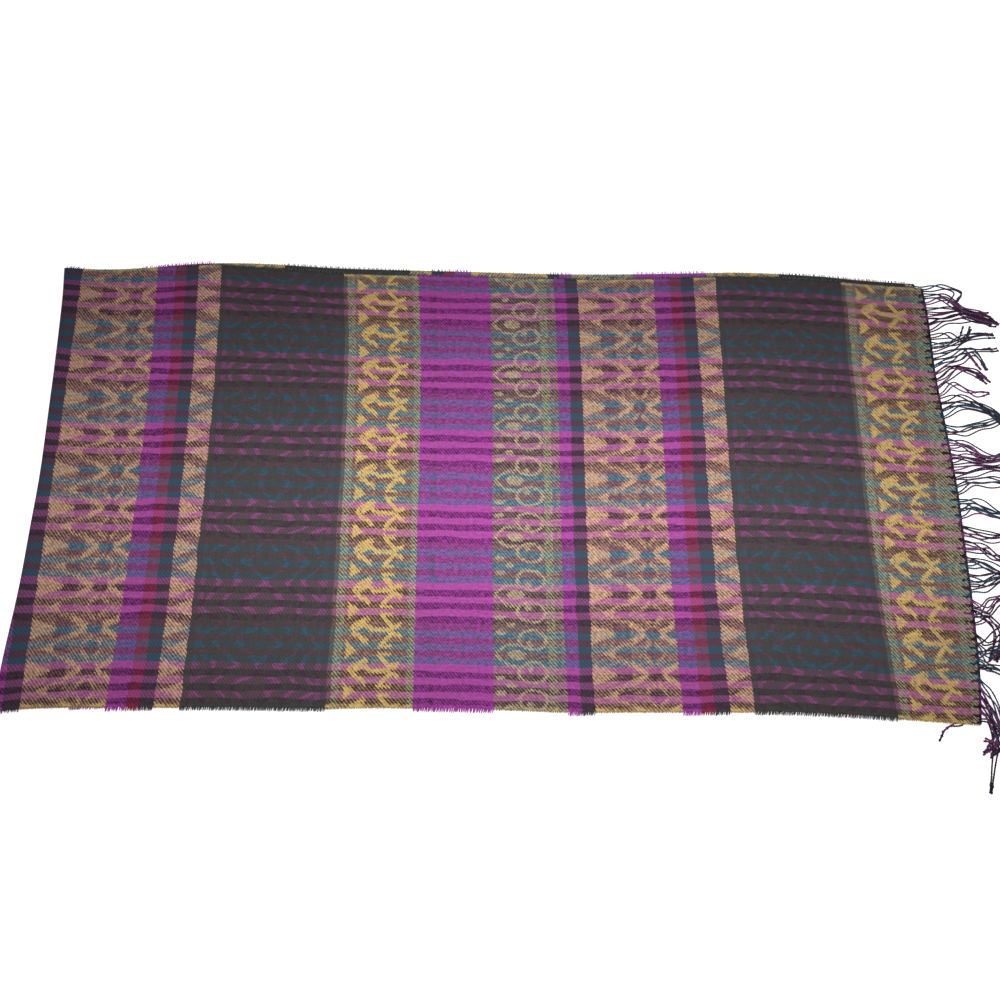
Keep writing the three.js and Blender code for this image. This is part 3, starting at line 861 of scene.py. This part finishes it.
def cut_weft_ends(settings):
    """Cut ends of weft along the selvedges: soft and matt, and a little paler at their tips, where light
    comes through them."""
    material, tree, add, shader = new_material("cut_viscose_weft", 0.85, 0.3)
    colours = colour_table(settings)
    place = add("Attribute", attribute_name="pattern_place")[2]
    bands = shared_group("weft_bands", weft_group, colours)
    yarn = group_outputs(tree, bands, [place])[0]
    tint = add("Attribute", attribute_name="tint")[2]
    pale = add("Mix", [tint, yarn, linear("#E4CFE0") + (1.0,)], data_type="RGBA")
    tree.links.new(pale, shader.inputs["Base Color"])
    return material


# ---- The cloth ----

ACROSS_STEPS = 116
UPPER_STEPS = 212
ROLL_STEPS = 10
UNDER_STEPS = 58
RIM = 0.5  # mm from an edge to the first row of faces beside it, which keeps the edge crisp
UNDER_LOOSE = 0.25  # mm by which the under layer swells off the surface, and again in its waves
UNDER_WAVE = 31.0  # mm to a radian of those waves
UNDER_LOOSE_SPAN = 40.0  # mm from the fold in which they begin


def across_stations():
    """Stations across the width, close together at the selvedges."""
    inner = np.linspace(-1, 1, ACROSS_STEPS)
    rim = RIM / HALF_WIDTH
    return np.concatenate([[-1, -1 + rim], inner[1:-1], [1 - rim, 1]])


def cloth_rows(across):
    """Rows of the cloth's middle surface, from its upper end round the fold to its under end, with each
    point's pattern place and distance to the nearest end."""
    fold = fold_at(across)
    radius = ROLL_RADIUS + (WALL - THICKNESS) / 2
    hub = fold + ROLL_RADIUS
    hub_height = WALL / 2 + ROLL_RADIUS
    rows = []

    def row(x, side, z, thread, to_end):
        warp_place = warp_at(x, across)
        rows.append(np.stack([x, side, z, pattern_at(thread), to_end, warp_place, thread], axis=1))

    upper_end = upper_rows_end(across)
    shares = 1 - np.concatenate([[0, RIM / HALF_LENGTH], np.linspace(0, 1, UPPER_STEPS)[1:]])
    for share in shares:
        x = hub + (upper_end - hub) * share
        y = upper_lie(x, across)
        to_end = upper_end - x
        z = upper_height(x, y, x - fold, to_end - END_ROWS)
        row(x, y, z, x - slid_at(x, across), to_end)
    quarter = ROLL_RADIUS * math.pi / 2
    slid = slid_at(hub, across)
    for turn in np.linspace(0, 1, ROLL_STEPS)[1:-1]:
        x = hub - radius * math.sin(math.pi * turn)
        z = hub_height + radius * math.cos(math.pi * turn)
        row(x, upper_side(x, across), 0 * x + z, hub - slid - 2 * quarter * turn, 0 * x + HALF_LENGTH)
    under_end = under_rows_end(across)
    shares = np.concatenate([np.linspace(0, 1, UNDER_STEPS)[:-1], [1 - RIM / HALF_LENGTH, 1]])
    for share in shares:
        x = hub + (under_end - hub) * share
        y = under_side(x, across)
        loose = UNDER_LOOSE + UNDER_LOOSE * np.sin(x / UNDER_WAVE + 2 * across)
        z = THICKNESS / 2 + loose * ease(0, UNDER_LOOSE_SPAN, x - fold)
        row(x, y, z, 2 * hub - slid - 2 * quarter - x, under_end - x)
    return np.array(rows)


def cloth_shell():
    """Points of the outer and inner faces, the faces as point numbers, and each point's pattern place,
    distance to the nearest end, warp place and place along its warp."""
    across = across_stations()
    rows = cloth_rows(across)
    middle = rows[:, :, :3]
    along_way = np.gradient(middle, axis=0)
    across_way = np.gradient(middle, axis=1)
    out = np.cross(across_way, along_way)
    out /= np.linalg.norm(out, axis=2, keepdims=True)
    count, width = middle.shape[:2]
    outer = (middle + out * THICKNESS / 2).reshape(-1, 3)
    inner = (middle - out * THICKNESS / 2).reshape(-1, 3)
    number = np.arange(count * width).reshape(count, width)
    a, b, c, d = number[:-1, :-1], number[:-1, 1:], number[1:, 1:], number[1:, :-1]
    top = np.stack([a, b, c, d], axis=2).reshape(-1, 4)
    under = count * width
    bottom = np.stack([d, c, b, a], axis=2).reshape(-1, 4) + under
    round_edge = np.concatenate([number[0, :-1], number[:-1, -1], number[-1, :0:-1], number[:0:-1, 0]])
    ahead = np.roll(round_edge, -1)
    rim = np.stack([ahead, round_edge, round_edge + under, ahead + under], axis=1)
    faces = np.concatenate([top, bottom, rim])
    values = [np.tile(rows[:, :, k].ravel(), 2) for k in (3, 4, 5, 6)]
    return np.concatenate([outer, inner]), faces, *values


class SHAWL_OT_woven_cloth(bpy.types.Operator):
    """Weave the cloth and lay it folded once across its length"""

    bl_idname = "shawl.woven_cloth"
    bl_label = "Woven cloth"

    def execute(self, context):
        settings = context.scene.shawl_cloth
        points, faces, pattern, to_end, warp_place, thread = cloth_shell()
        corners = faces.ravel()
        place = np.stack([pattern, warp_place], axis=1)[corners]
        threads = np.stack([thread, warp_place], axis=1)[corners]
        cloth = mesh_piece(
            "woven_cloth", points, faces.tolist(), viscose_twill(settings),
            uvs={"Pattern": place, "Threads": threads},
            values={"to_end": to_end},
        )
        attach(cloth, "root")
        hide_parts("upper_layer", "under_layer")
        trimmings = [bpy.data.objects[name] for name in TRIMMINGS if name in bpy.data.objects]
        return {"FINISHED"}


# ---- The fringes ----

TRIMMINGS = ["upper_fringe_yarns", "under_fringe_yarns", "selvedge_fray", "pulled_threads"]
SECTION = 6  # points round a yarn
LOBE_MIDDLE = 0.86  # of a twisted yarn's two lobes, as a share of its radius
LOBE_DEPTH = 0.2
LOBE_REACH = 1.08  # a knot rests this share of its radius above the surface, clear of its lobes
TWIST = 5.0  # mm of yarn to one turn of its plies
TUFT = 5.0  # cut ends past a knot
TUFT_SPREAD = 0.5  # how much wider they are at their tips
KNOT_LENGTH = 3.4
KNOT_ROUND = 0.42  # the share of its length over which a knot swells
KNOT_STRETCH = 9.0  # the end of a yarn that holds its knot and tuft, with finer rings of points
BODY_RINGS = 62
KNOT_RINGS = 15
CURVE_POINTS = 240  # of the smooth curve that a yarn's rings are set out on


def yarn_distances(length):
    """Distances along a yarn at which it has a ring of points, close together at its knot."""
    body = np.linspace(0, length - KNOT_STRETCH, BODY_RINGS)
    return np.concatenate([body, np.linspace(length - KNOT_STRETCH, length, KNOT_RINGS)[1:]])


def yarn_radii(distance, length, yarn, knot):
    """Even yarn, then the knot, then the cut ends as they spread."""
    from_tip = length - distance
    middle = TUFT + KNOT_LENGTH / 2
    bulge = np.exp(-((from_tip - middle) / (KNOT_LENGTH * KNOT_ROUND)) ** 2)
    flare = ease(TUFT, 0, from_tip) * TUFT_SPREAD
    return yarn * (1 + flare) + (knot - yarn) * bulge


def yarn_tube(route, radii, distance, lay):
    """Points and faces of one yarn: two plies twisted together, so its section has two lobes that turn."""
    ahead = np.gradient(route, axis=0)
    ahead /= np.linalg.norm(ahead, axis=1, keepdims=True)
    side = np.cross([0.0, 0.0, 1.0], ahead)
    side /= np.linalg.norm(side, axis=1, keepdims=True)
    over = np.cross(ahead, side)
    angles = np.arange(SECTION) * 2 * math.pi / SECTION
    turned = 2 * math.pi * distance[:, None] / lay
    lobes = LOBE_MIDDLE + LOBE_DEPTH * np.cos(2 * (angles[None, :] - turned))
    reach = (radii[:, None] * lobes)[:, :, None]
    ring = side[:, None, :] * np.cos(angles)[None, :, None] + over[:, None, :] * np.sin(angles)[None, :, None]
    points = (route[:, None, :] + ring * reach).reshape(-1, 3)
    count = len(route)
    first = (np.arange(count - 1) * SECTION)[:, None] + np.arange(SECTION)[None, :]
    second = (np.arange(count - 1) * SECTION)[:, None] + (np.arange(SECTION)[None, :] + 1) % SECTION
    quads = np.stack([first, second, second + SECTION, first + SECTION], axis=2).reshape(-1, 4).tolist()
    start = list(range(SECTION))[::-1]
    tip = list(range((count - 1) * SECTION, count * SECTION))
    return points, quads + [start, tip]


class Bundle:
    """Yarns gathered into one mesh, each point with named values."""

    def __init__(self):
        self.points, self.faces, self.values, self.count = [], [], {}, 0

    def add(self, points, faces, **values):
        self.points.append(points)
        self.faces.extend([[corner + self.count for corner in face] for face in faces])
        for name, numbers in values.items():
            self.values.setdefault(name, []).append(np.broadcast_to(numbers, len(points)))
        self.count += len(points)

    def piece(self, name, material):
        values = {key: np.concatenate(parts) for key, parts in self.values.items()}
        return mesh_piece(name, np.concatenate(self.points), self.faces, material, values=values)


# How the tassels lie, counted from the front: those from first to last go together past near and far to tip,
# each a place in mm (from the fold line, from the middle across).
Clump = namedtuple("Clump", "first last near far tip")
CLUMPS = [
    Clump(0, 0, (915, -227), (920, -246), (907, -288)),
    Clump(1, 1, (918, -226), (922, -248), (910, -242)),
    Clump(2, 5, (922, -221), (925, -242), (916, -256)),
    Clump(6, 7, (920, -176), (934, -181), (962, -200)),
    Clump(8, 9, (923, -167), (938, -160), (980, -151)),
    Clump(10, 10, (924, -156), (940, -144), (978, -124)),
    Clump(11, 12, (927, -130), (940, -142), (933, -173)),
    Clump(13, 14, (927, -124), (945, -115), (981, -102)),
    Clump(15, 17, (933, -97), (951, -90), (993, -87)),
    Clump(18, 19, (933, -78), (950, -84), (986, -97)),
    Clump(20, 21, (937, -63), (951, -72), (990, -78)),
    Clump(22, 23, (939, -49), (954, -53), (996, -42)),
    Clump(24, 26, (933, -19), (958, -27), (1004, -23)),
    Clump(27, 28, (936, 7), (963, 6), (1005, 2)),
    Clump(29, 30, (935, 19), (965, 19), (1005, 13)),
    Clump(31, 32, (932, 31), (957, 28), (993, 36)),
    Clump(33, 34, (935, 44), (953, 35), (980, 33)),
    Clump(35, 36, (934, 62), (957, 67), (984, 76)),
    Clump(37, 39, (938, 93), (960, 84), (982, 71)),
    Clump(40, 40, (933, 112), (950, 104), (969, 102)),
    Clump(41, 42, (938, 130), (956, 128), (968, 115)),
    Clump(43, 44, (940, 143), (956, 147), (966, 133)),
    Clump(45, 45, (938, 150), (962, 151), (982, 157)),
    Clump(46, 47, (934, 155), (952, 167), (983, 170)),
    Clump(48, 48, (933, 169), (946, 165), (960, 177)),
    Clump(49, 52, (937, 192), (958, 192), (986, 183)),
    Clump(53, 54, (937, 213), (953, 199), (982, 194)),
    Clump(55, 55, (934, 224), (951, 222), (947, 205)),
]
UNDER_CLUMPS = [
    Clump(0, 0, (890, -228), (878, -231), (866, -243)),
    Clump(1, 1, (892, -224), (882, -228), (872, -236)),
]
UNDER_COMBED = (-7.0, 0.5)  # how far the under fringe's other clumps lie from the upper ones

# How a clump draws its tassels together at near, far and tip: the share of their own spacing that they keep,
# and in mm how far a yarn strays and how far it lies from its tassel's middle.
Gather = namedtuple("Gather", "keep stray apart")
GATHERS = [Gather(0.6, 1.2, 2.4), Gather(0.34, 2.0, 2.0), Gather(0.26, 2.6, 0.9)]
ROOT_INSET = 2.2  # mm from a tassel's root to the cloth's end
ROOT_APART = 0.9  # mm from a tassel's middle to each yarn at its root
FIRST_STRETCH = 7.0  # mm that a tassel runs straight towards its clump
FIRST_APART = 1.3
WARP_APART = 1.6  # mm of warp between a tassel's middle and that of each yarn
SLOW_WAVE = 40.0  # mm in which a yarn waves once, give or take the spread
SLOW_WAVE_SPREAD = 9.0
SLOW_WAVE_RISE = 1.2
CROSSINGS = 1.1  # turns of a tassel's two yarns over each other, give or take the spread
CROSSINGS_SPREAD = 0.4
LEVELS = 3  # tassels beside each other lie at so many heights
LEVEL_RISE = 1.5
PLY_RISE = 0.85

Stop = namedtuple("Stop", "at x y")
Yarn = namedtuple("Yarn", "route distance warp_place")


def smooth_route(stops):
    """Points of a smooth curve through stops, and how far along it each of them is."""
    stops = np.array(stops, float)
    chord = np.concatenate([[0], np.cumsum(np.linalg.norm(np.diff(stops, axis=0), axis=1))])
    rows = [Stop(at, x, y) for at, (x, y) in zip(chord, stops)]
    fine = np.linspace(0, chord[-1], CURVE_POINTS)
    curve = np.stack([column(rows, "at", axis, fine) for axis in ("x", "y")], axis=1)
    run = np.concatenate([[0], np.cumsum(np.linalg.norm(np.diff(curve, axis=0), axis=1))])
    distance = yarn_distances(run[-1])
    points = np.stack([np.interp(distance, run, curve[:, k]) for k in (0, 1)], axis=1)
    return points, distance


def yarn_stops(root, off, clump, ply, seed):
    """Places that one yarn passes: its root, its first stretch, and near, far and tip of its clump."""
    toward = np.array(clump.near) + off * GATHERS[0].keep - root
    toward = toward / np.linalg.norm(toward)
    stops = [root + (0, ply * ROOT_APART), root + toward * FIRST_STRETCH + (0, ply * FIRST_APART)]
    for k, (place, gather) in enumerate(zip((clump.near, clump.far, clump.tip), GATHERS), 1):
        stray = np.array([scatter(seed, k), scatter(seed, k + 3)])
        stop = np.array(place) + off * gather.keep + stray * gather.stray
        heading = stop - stops[-1]
        sideways = np.array([-heading[1], heading[0]]) / (np.linalg.norm(heading) + 0.1)
        stops.append(stop + sideways * ply * gather.apart)
    return stops


def fringe_yarns(start, side, clumps, plies, leaves, rest, highest=np.inf):
    """A fringe's yarns. They leave the cloth's end at one height and come to rest at another."""
    roots = {}
    for tassel in range(TASSELS):
        across = -1 + (2 * tassel + 1) / TASSELS
        x = float(start(across)) - ROOT_INSET
        roots[tassel] = np.array([x, float(side(x, across))])
    yarns = []
    for clump in clumps:
        members = range(clump.first, clump.last + 1)
        middle = np.mean([roots[i] for i in members], axis=0)
        for tassel, ply in itertools.product(members, plies):
            across = -1 + (2 * tassel + 1) / TASSELS
            seed = 2 * tassel + (ply > 0)
            root = roots[tassel]
            route, distance = smooth_route(yarn_stops(root, root - middle, clump, ply, seed))
            share = distance / distance[-1]
            begins = ease(0, 0.25, share)
            wave = 2 * math.pi * distance / (SLOW_WAVE + SLOW_WAVE_SPREAD * scatter(seed, 9)) + seed
            route[:, 1] += SLOW_WAVE_RISE * begins * np.sin(wave)
            crossing = 2 * math.pi * (CROSSINGS + CROSSINGS_SPREAD * scatter(tassel, 6)) * share
            lift = LEVEL_RISE * (tassel % LEVELS) + PLY_RISE + ply * PLY_RISE * np.sin(crossing)
            z = leaves + (rest - leaves) * ease(0.1, 0.9, share)
            z = z + begins * ease(1.0, 0.8, share) * lift
            points = np.column_stack([route, np.clip(z, rest, highest)])
            yarns.append(Yarn(points, distance, HALF_WIDTH * (1 - across) - ply * WARP_APART))
    return yarns


def lay_fringe(name, yarns, settings):
    """One mesh of a fringe's yarns, with loose cut ends past each knot."""
    fringe = Bundle()
    for yarn in yarns:
        distance = yarn.distance
        radii = yarn_radii(distance, distance[-1], settings.yarn_radius / MM, settings.knot_radius / MM)
        points, faces = yarn_tube(yarn.route, radii, distance, TWIST)
        along = np.repeat(distance, SECTION) + yarn.warp_place
        fringe.add(points, faces, warp_place=yarn.warp_place, along_yarn=along)
    return fringe.piece(name, twisted_yarn(bpy.context.scene.shawl_cloth))


class SHAWL_OT_upper_fringe(bpy.types.Operator):
    """Lay the twisted and knotted tassels of the upper end"""

    bl_idname = "shawl.upper_fringe"
    bl_label = "Upper fringe"

    def execute(self, context):
        settings = context.scene.shawl_fringe
        leaves = WALL + SEAM_GAP + END_RISE + WALL / 2
        rest = settings.knot_radius / MM * LOBE_REACH
        yarns = fringe_yarns(upper_rows_end, upper_side, CLUMPS, (-1, 1), leaves, rest)
        fringe = lay_fringe("upper_fringe_yarns", yarns, settings)
        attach(fringe, "root")
        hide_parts("upper_fringe")
        return {"FINISHED"}


class SHAWL_OT_under_fringe(bpy.types.Operator):
    """Lay the tassels of the under end flat, where they show only between the upper ones"""

    bl_idname = "shawl.under_fringe"
    bl_label = "Under fringe"

    def execute(self, context):
        settings = context.scene.shawl_fringe
        clumps = []
        for clump in CLUMPS[len(UNDER_CLUMPS):]:
            places = [tuple(np.array(place) + UNDER_COMBED) for place in (clump.near, clump.far, clump.tip)]
            clumps.append(Clump(clump.first, clump.last, *places))
        clumps += UNDER_CLUMPS
        rest = settings.knot_radius / MM * LOBE_REACH
        yarns = fringe_yarns(under_rows_end, under_side, clumps, (1,), WALL / 2, rest, rest)
        fringe = lay_fringe("under_fringe_yarns", yarns, settings)
        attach(fringe, "root")
        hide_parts("under_fringe")
        return {"FINISHED"}


# ---- Selvedge fray ----

# How far the cut ends of each weft yarn stand out of the selvedge, in mm.
FRAY_LENGTH = {
    "magenta": 4.2,
    "crimson": 4.0,
    "dark": 3.8,
    "green": 3.6,
    "faded": 2.0,
    "olive": 1.6,
    "peach": 1.5,
    "gold": 1.5,
    "sand": 1.5,
}
FRAY_ROOT = 0.6  # mm from a cut end's root out to the selvedge
FRAY_FROM_FOLD = 4.0  # mm without cut ends at the fold
FRAY_TO_END = 0.5  # and at the cloth's end
FRAY_JITTER = 0.25  # mm that a cut end strays from its even place
FRAY_SPREAD = (0.8, 1.1)  # least and most of a cut end's length
FRAY_LEAN = (-0.45, -0.1)  # and of its lean, as shares of its length
BACK_LEANS = (-1.6, 1.6)  # the back's cut ends lean farther, and either way
FRAY_DROOP = 0.35  # of its length, at most
FRAY_PALE = (0.7, 1.2)  # and of how pale it is
WEFT_END_TAPER = (1.0, 1.0, 0.85, 0.4)  # thickness of a cut end from its root to its tip
WEFT_END_CURVE = 1.3  # a higher power makes it lean later

# The two selvedges: mm from one cut end to the next, the share of FRAY_LENGTH that they stand out, their
# radius, and how pale they are from root to tip.
Selvedge = namedtuple("Selvedge", "edge pitch length radius pale")
SELVEDGES = [
    Selvedge(-1, 1.0, 1.0, 0.6, (0.0, 0.0, 0.06, 0.16)),
    Selvedge(1, 1.6, 0.8, 0.5, (0.0, 0.0, 0.1, 0.45)),
]


def band_at(pattern):
    """The weft band at a place in the bands' order."""
    place = pattern % REPEAT
    return next(band for band in reversed(BANDS) if BAND_START[band.name] <= place + 1e-6)


def weft_end(start, lean, length, radius, droop):
    """One cut end of weft: a three-sided tapering yarn that leans and droops."""
    share = np.linspace(0, 1, len(WEFT_END_TAPER))
    x = start[0] + lean * share ** WEFT_END_CURVE
    y = start[1] + length * share
    z = start[2] + droop * share ** 2
    points = []
    for i, thin in enumerate(WEFT_END_TAPER):
        for angle in (math.pi / 2, math.pi * 7 / 6, math.pi * 11 / 6):
            reach = radius * thin
            points.append((x[i] + reach * math.cos(angle), y[i], z[i] + reach * math.sin(angle)))
    faces = [
        [3 * i + k, 3 * i + (k + 1) % 3, 3 * i + 3 + (k + 1) % 3, 3 * i + 3 + k]
        for i in range(3) for k in range(3)
    ]
    faces += [[2, 1, 0], [9, 10, 11]]
    if length < 0:
        faces = [face[::-1] for face in faces]
    return np.array(points), faces


class SHAWL_OT_selvedge_fray(bpy.types.Operator):
    """Stand the cut ends of weft along the four long edges"""

    bl_idname = "shawl.selvedge_fray"
    bl_label = "Selvedge fray"

    def execute(self, context):
        rng = np.random.default_rng(7)
        fray = Bundle()
        for upper, selvedge in itertools.product((True, False), SELVEDGES):
            fold = float(fold_at(selvedge.edge))
            end = float((upper_rows_end if upper else under_rows_end)(selvedge.edge))
            places = np.arange(fold + FRAY_FROM_FOLD, end - FRAY_TO_END, selvedge.pitch)
            for x in places + rng.uniform(-FRAY_JITTER, FRAY_JITTER, len(places)):
                self.stand(fray, rng, x, selvedge, upper, fold, end)
        piece = fray.piece("selvedge_fray", cut_weft_ends(context.scene.shawl_cloth))
        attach(piece, "root")
        return {"FINISHED"}

    def stand(self, fray, rng, x, selvedge, upper, fold, end):
        """Adds one cut end, with the length and colour of the band that it comes from."""
        edge = selvedge.edge
        hub = fold + ROLL_RADIUS
        if upper:
            thread = x - float(slid_at(x, edge))
            side = float(upper_lie(x, edge))
            z = float(upper_height(x, side, x - fold, end - END_ROWS - x))
        else:
            thread = 2 * hub - float(slid_at(hub, edge)) - math.pi * ROLL_RADIUS - x
            side = float(under_side(x, edge))
            z = THICKNESS
        pattern = float(pattern_at(thread))
        length = FRAY_LENGTH[band_at(pattern).yarn] * rng.uniform(*FRAY_SPREAD) * selvedge.length
        lean = rng.uniform(*FRAY_LEAN) * length
        if edge > 0:
            lean *= rng.choice(BACK_LEANS)
        droop = -min(z - 0.5, length * FRAY_DROOP) if upper else 0.0
        root = (x, side - edge * FRAY_ROOT, z)
        points, faces = weft_end(root, lean, edge * (length + FRAY_ROOT), selvedge.radius, droop)
        tint = np.repeat(selvedge.pale, 3) * rng.uniform(*FRAY_PALE)
        fray.add(points, faces, pattern_place=pattern, tint=tint)


class SHAWL_OT_pulled_threads(bpy.types.Operator):
    """Pull two small loops of thread out of the cloth near its fringed end"""

    bl_idname = "shawl.pulled_threads"
    bl_label = "Pulled threads"

    # Where each loop stands (mm from the fold line and from the middle across), its size and its tint.
    Loop = namedtuple("Loop", "x y wide tall tint")
    LOOPS = [Loop(885, -27, 3.4, 2.2, 0.55), Loop(886, -62, 3.0, 2.6, 0.6)]
    OPENS, CLOSES = 0.6, 2 * math.pi - 0.2  # the loop's two ends, as angles
    POINTS = 26
    RADIUS = 0.28
    RISE = 0.8

    def execute(self, context):
        threads = Bundle()
        angle = np.linspace(self.OPENS, self.CLOSES, self.POINTS)
        for loop in self.LOOPS:
            across = (loop.y - float(drift_at(loop.x))) / float(half_width_at(loop.x))
            to_end = float(upper_end_at(across)) - loop.x
            height = float(upper_height(loop.x, loop.y, loop.x, to_end)) + THICKNESS / 2
            z = height + 0.1 + self.RISE * np.sin((angle - self.OPENS) / 2) ** 2
            x = loop.x + loop.wide * np.cos(angle)
            y = loop.y + loop.tall * np.sin(angle)
            route = np.stack([x, y, z], axis=1)
            distance = np.arange(self.POINTS) * 0.7
            points, faces = yarn_tube(route, np.full(self.POINTS, self.RADIUS), distance, lay=3.0)
            threads.add(points, faces, pattern_place=float(pattern_at(loop.x)), tint=loop.tint)
        piece = threads.piece("pulled_threads", cut_weft_ends(context.scene.shawl_cloth))
        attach(piece, "root")
        return {"FINISHED"}


# ---- Stage ----

CAMERA_PLACE = (462.5, -316.5, 948.6)  # mm from the fold line, the cloth's middle and the surface
CAMERA_TILT = 17.88  # degrees from straight down
LAMP_PLACE = (500.0, -26.0, 354.0)
LAMP_NARROW = 9  # times longer than wide
FLOOR_HALF = 30.0  # metres, so that its edge stays far off from every side


class SHAWL_OT_stage(bpy.types.Operator):
    """Set the pale floor, the soft light and the camera"""

    bl_idname = "shawl.stage"
    bl_label = "Stage"

    def execute(self, context):
        settings = context.scene.shawl_stage
        scene = context.scene
        self.floor(settings)
        lamp_place = (np.array(LAMP_PLACE) + SHIFT) * MM
        self.light("soft_lamp", lamp_place, settings.lamp_size, settings.lamp_power)
        world = bpy.data.worlds.new("soft_white_room")
        world.use_nodes = True
        background = world.node_tree.nodes["Background"]
        background.inputs["Color"].default_value = (1.0, 1.0, 1.0, 1.0)
        background.inputs["Strength"].default_value = settings.room_light
        scene.world = world
        scene.view_settings.view_transform = "Standard"
        camera = bpy.data.cameras.new("view_camera")
        camera.lens = 36.0
        camera.sensor_width = 36.0
        viewer = bpy.data.objects.new("view_camera", camera)
        viewer.location = (np.array(CAMERA_PLACE) + SHIFT) * MM
        viewer.rotation_euler = (math.radians(CAMERA_TILT), 0, 0)
        scene.collection.objects.link(viewer)
        scene.camera = viewer
        return {"FINISHED"}

    def floor(self, settings):
        half = FLOOR_HALF
        mesh = bpy.data.meshes.new("floor")
        corners = [(-half, -half, 0), (half, -half, 0), (half, half, 0), (-half, half, 0)]
        mesh.from_pydata(corners, [], [(0, 1, 2, 3)])
        material, tree, add, shader = new_material("matt_white_paint", 0.9, 0.0)
        grain = add("TexNoise", [None, 3.0, 2.0, 0.5])[0]
        pale = linear(settings.floor_code) + (1.0,)
        colour = add("Mix", [grain, pale, linear("#F6F6F6") + (1.0,)], data_type="RGBA")
        tree.links.new(colour, shader.inputs["Base Color"])
        shader.inputs["Emission Color"].default_value = (1.0, 1.0, 1.0, 1.0)
        shader.inputs["Emission Strength"].default_value = settings.floor_glow
        mesh.materials.append(material)
        floor = bpy.data.objects.new("floor", mesh)
        bpy.context.scene.collection.objects.link(floor)

    def light(self, name, place, size, power):
        lamp = bpy.data.lights.new(name, "AREA")
        lamp.shape = "RECTANGLE"
        lamp.size = size
        lamp.size_y = size / LAMP_NARROW
        lamp.energy = power
        holder = bpy.data.objects.new(name, lamp)
        holder.location = place
        holder.visible_camera = False
        bpy.context.scene.collection.objects.link(holder)


# ---- Settings and panel ----

def yarn_colour(name, words):
    """A colour property for one of the yarns."""
    return bpy.props.FloatVectorProperty(
        name=words, description=f"Colour of the {words.lower()}, linear", subtype="COLOR", size=3,
        min=0.0, max=1.0, default=linear(COLOURS[name]),
    )


class ClothSettings(bpy.types.PropertyGroup):
    """What a user would change about the cloth."""

    twill_pitch: bpy.props.FloatProperty(
        name="Twill pitch", description="From one twill line to the next, along the cloth",
        default=3.4 * MM, min=0.5 * MM, unit="LENGTH",
    )
    twill_angle: bpy.props.FloatProperty(
        name="Twill angle", description="Steepness of the twill lines against the warp",
        default=math.radians(50), subtype="ANGLE",
    )
    yarn_magenta: yarn_colour("magenta", "Magenta weft")
    yarn_dark: yarn_colour("dark", "Dark weft")
    yarn_peach: yarn_colour("peach", "Peach weft")
    yarn_gold: yarn_colour("gold", "Gold weft")
    yarn_sand: yarn_colour("sand", "Sand weft")
    yarn_crimson: yarn_colour("crimson", "Crimson weft")
    yarn_green: yarn_colour("green", "Green-black weft")
    yarn_faded: yarn_colour("faded", "Green and gold weft")
    yarn_olive: yarn_colour("olive", "Olive weft")
    yarn_M: yarn_colour("M", "Magenta warp")
    yarn_D: yarn_colour("D", "Plum warp")
    yarn_R: yarn_colour("R", "Rose warp")
    yarn_T: yarn_colour("T", "Teal warp")


class FringeSettings(bpy.types.PropertyGroup):
    """What a user would change about the fringes."""

    yarn_radius: bpy.props.FloatProperty(
        name="Yarn radius", description="Half the thickness of one twisted yarn",
        default=YARN_RADIUS * MM, unit="LENGTH",
    )
    knot_radius: bpy.props.FloatProperty(
        name="Knot radius", description="Half the thickness of the knot at a yarn's end",
        default=KNOT_RADIUS * MM, unit="LENGTH",
    )


class StageSettings(bpy.types.PropertyGroup):
    """What a user would change about the stage."""

    floor_code: bpy.props.StringProperty(
        name="Floor colour", description="sRGB hex colour of the floor", default="#F2F2F2",
    )
    floor_glow: bpy.props.FloatProperty(
        name="Floor glow", description="Light that comes up through the floor, as on a light table",
        default=0.85, min=0.0,
    )
    lamp_power: bpy.props.FloatProperty(
        name="Lamp power", description="Power of the soft lamp overhead in watts", default=2.5, min=0.0,
    )
    lamp_size: bpy.props.FloatProperty(
        name="Lamp size", description="Longer side of the soft lamp", default=0.9, min=0.01, unit="LENGTH",
    )
    room_light: bpy.props.FloatProperty(
        name="Room light", description="Strength of the light from all round", default=0.158, min=0.0,
    )


OPERATORS = [
    SHAWL_OT_upper_fringe,
    SHAWL_OT_under_fringe,
    SHAWL_OT_selvedge_fray,
    SHAWL_OT_pulled_threads,
    SHAWL_OT_woven_cloth,
    SHAWL_OT_stage,
]


class SHAWL_PT_panel(bpy.types.Panel):
    """Lists the shawl's settings and the steps that make it."""

    bl_idname = "SHAWL_PT_panel"
    bl_label = "Folded fringed shawl"
    bl_space_type = "VIEW_3D"
    bl_region_type = "UI"
    bl_category = "Shawl"

    def draw(self, context):
        scene = context.scene
        for settings in (scene.shawl_cloth, scene.shawl_fringe, scene.shawl_stage):
            box = self.layout.box()
            for name in type(settings).__annotations__:
                box.prop(settings, name)
        for operator in OPERATORS:
            self.layout.operator(operator.bl_idname)


CLASSES = [ClothSettings, FringeSettings, StageSettings, *OPERATORS, SHAWL_PT_panel]


def register():
    for cls in CLASSES:
        bpy.utils.register_class(cls)
    bpy.types.Scene.shawl_cloth = bpy.props.PointerProperty(type=ClothSettings)
    bpy.types.Scene.shawl_fringe = bpy.props.PointerProperty(type=FringeSettings)
    bpy.types.Scene.shawl_stage = bpy.props.PointerProperty(type=StageSettings)


def unregister():
    del bpy.types.Scene.shawl_stage
    del bpy.types.Scene.shawl_fringe
    del bpy.types.Scene.shawl_cloth
    for cls in reversed(CLASSES):
        bpy.utils.unregister_class(cls)


def main():
    """Builds the whole shawl and its stage."""
    register()
    for operator in OPERATORS:
        group, name = operator.bl_idname.split(".")
        getattr(getattr(bpy.ops, group), name)()


if __name__ == "__main__":
    main()
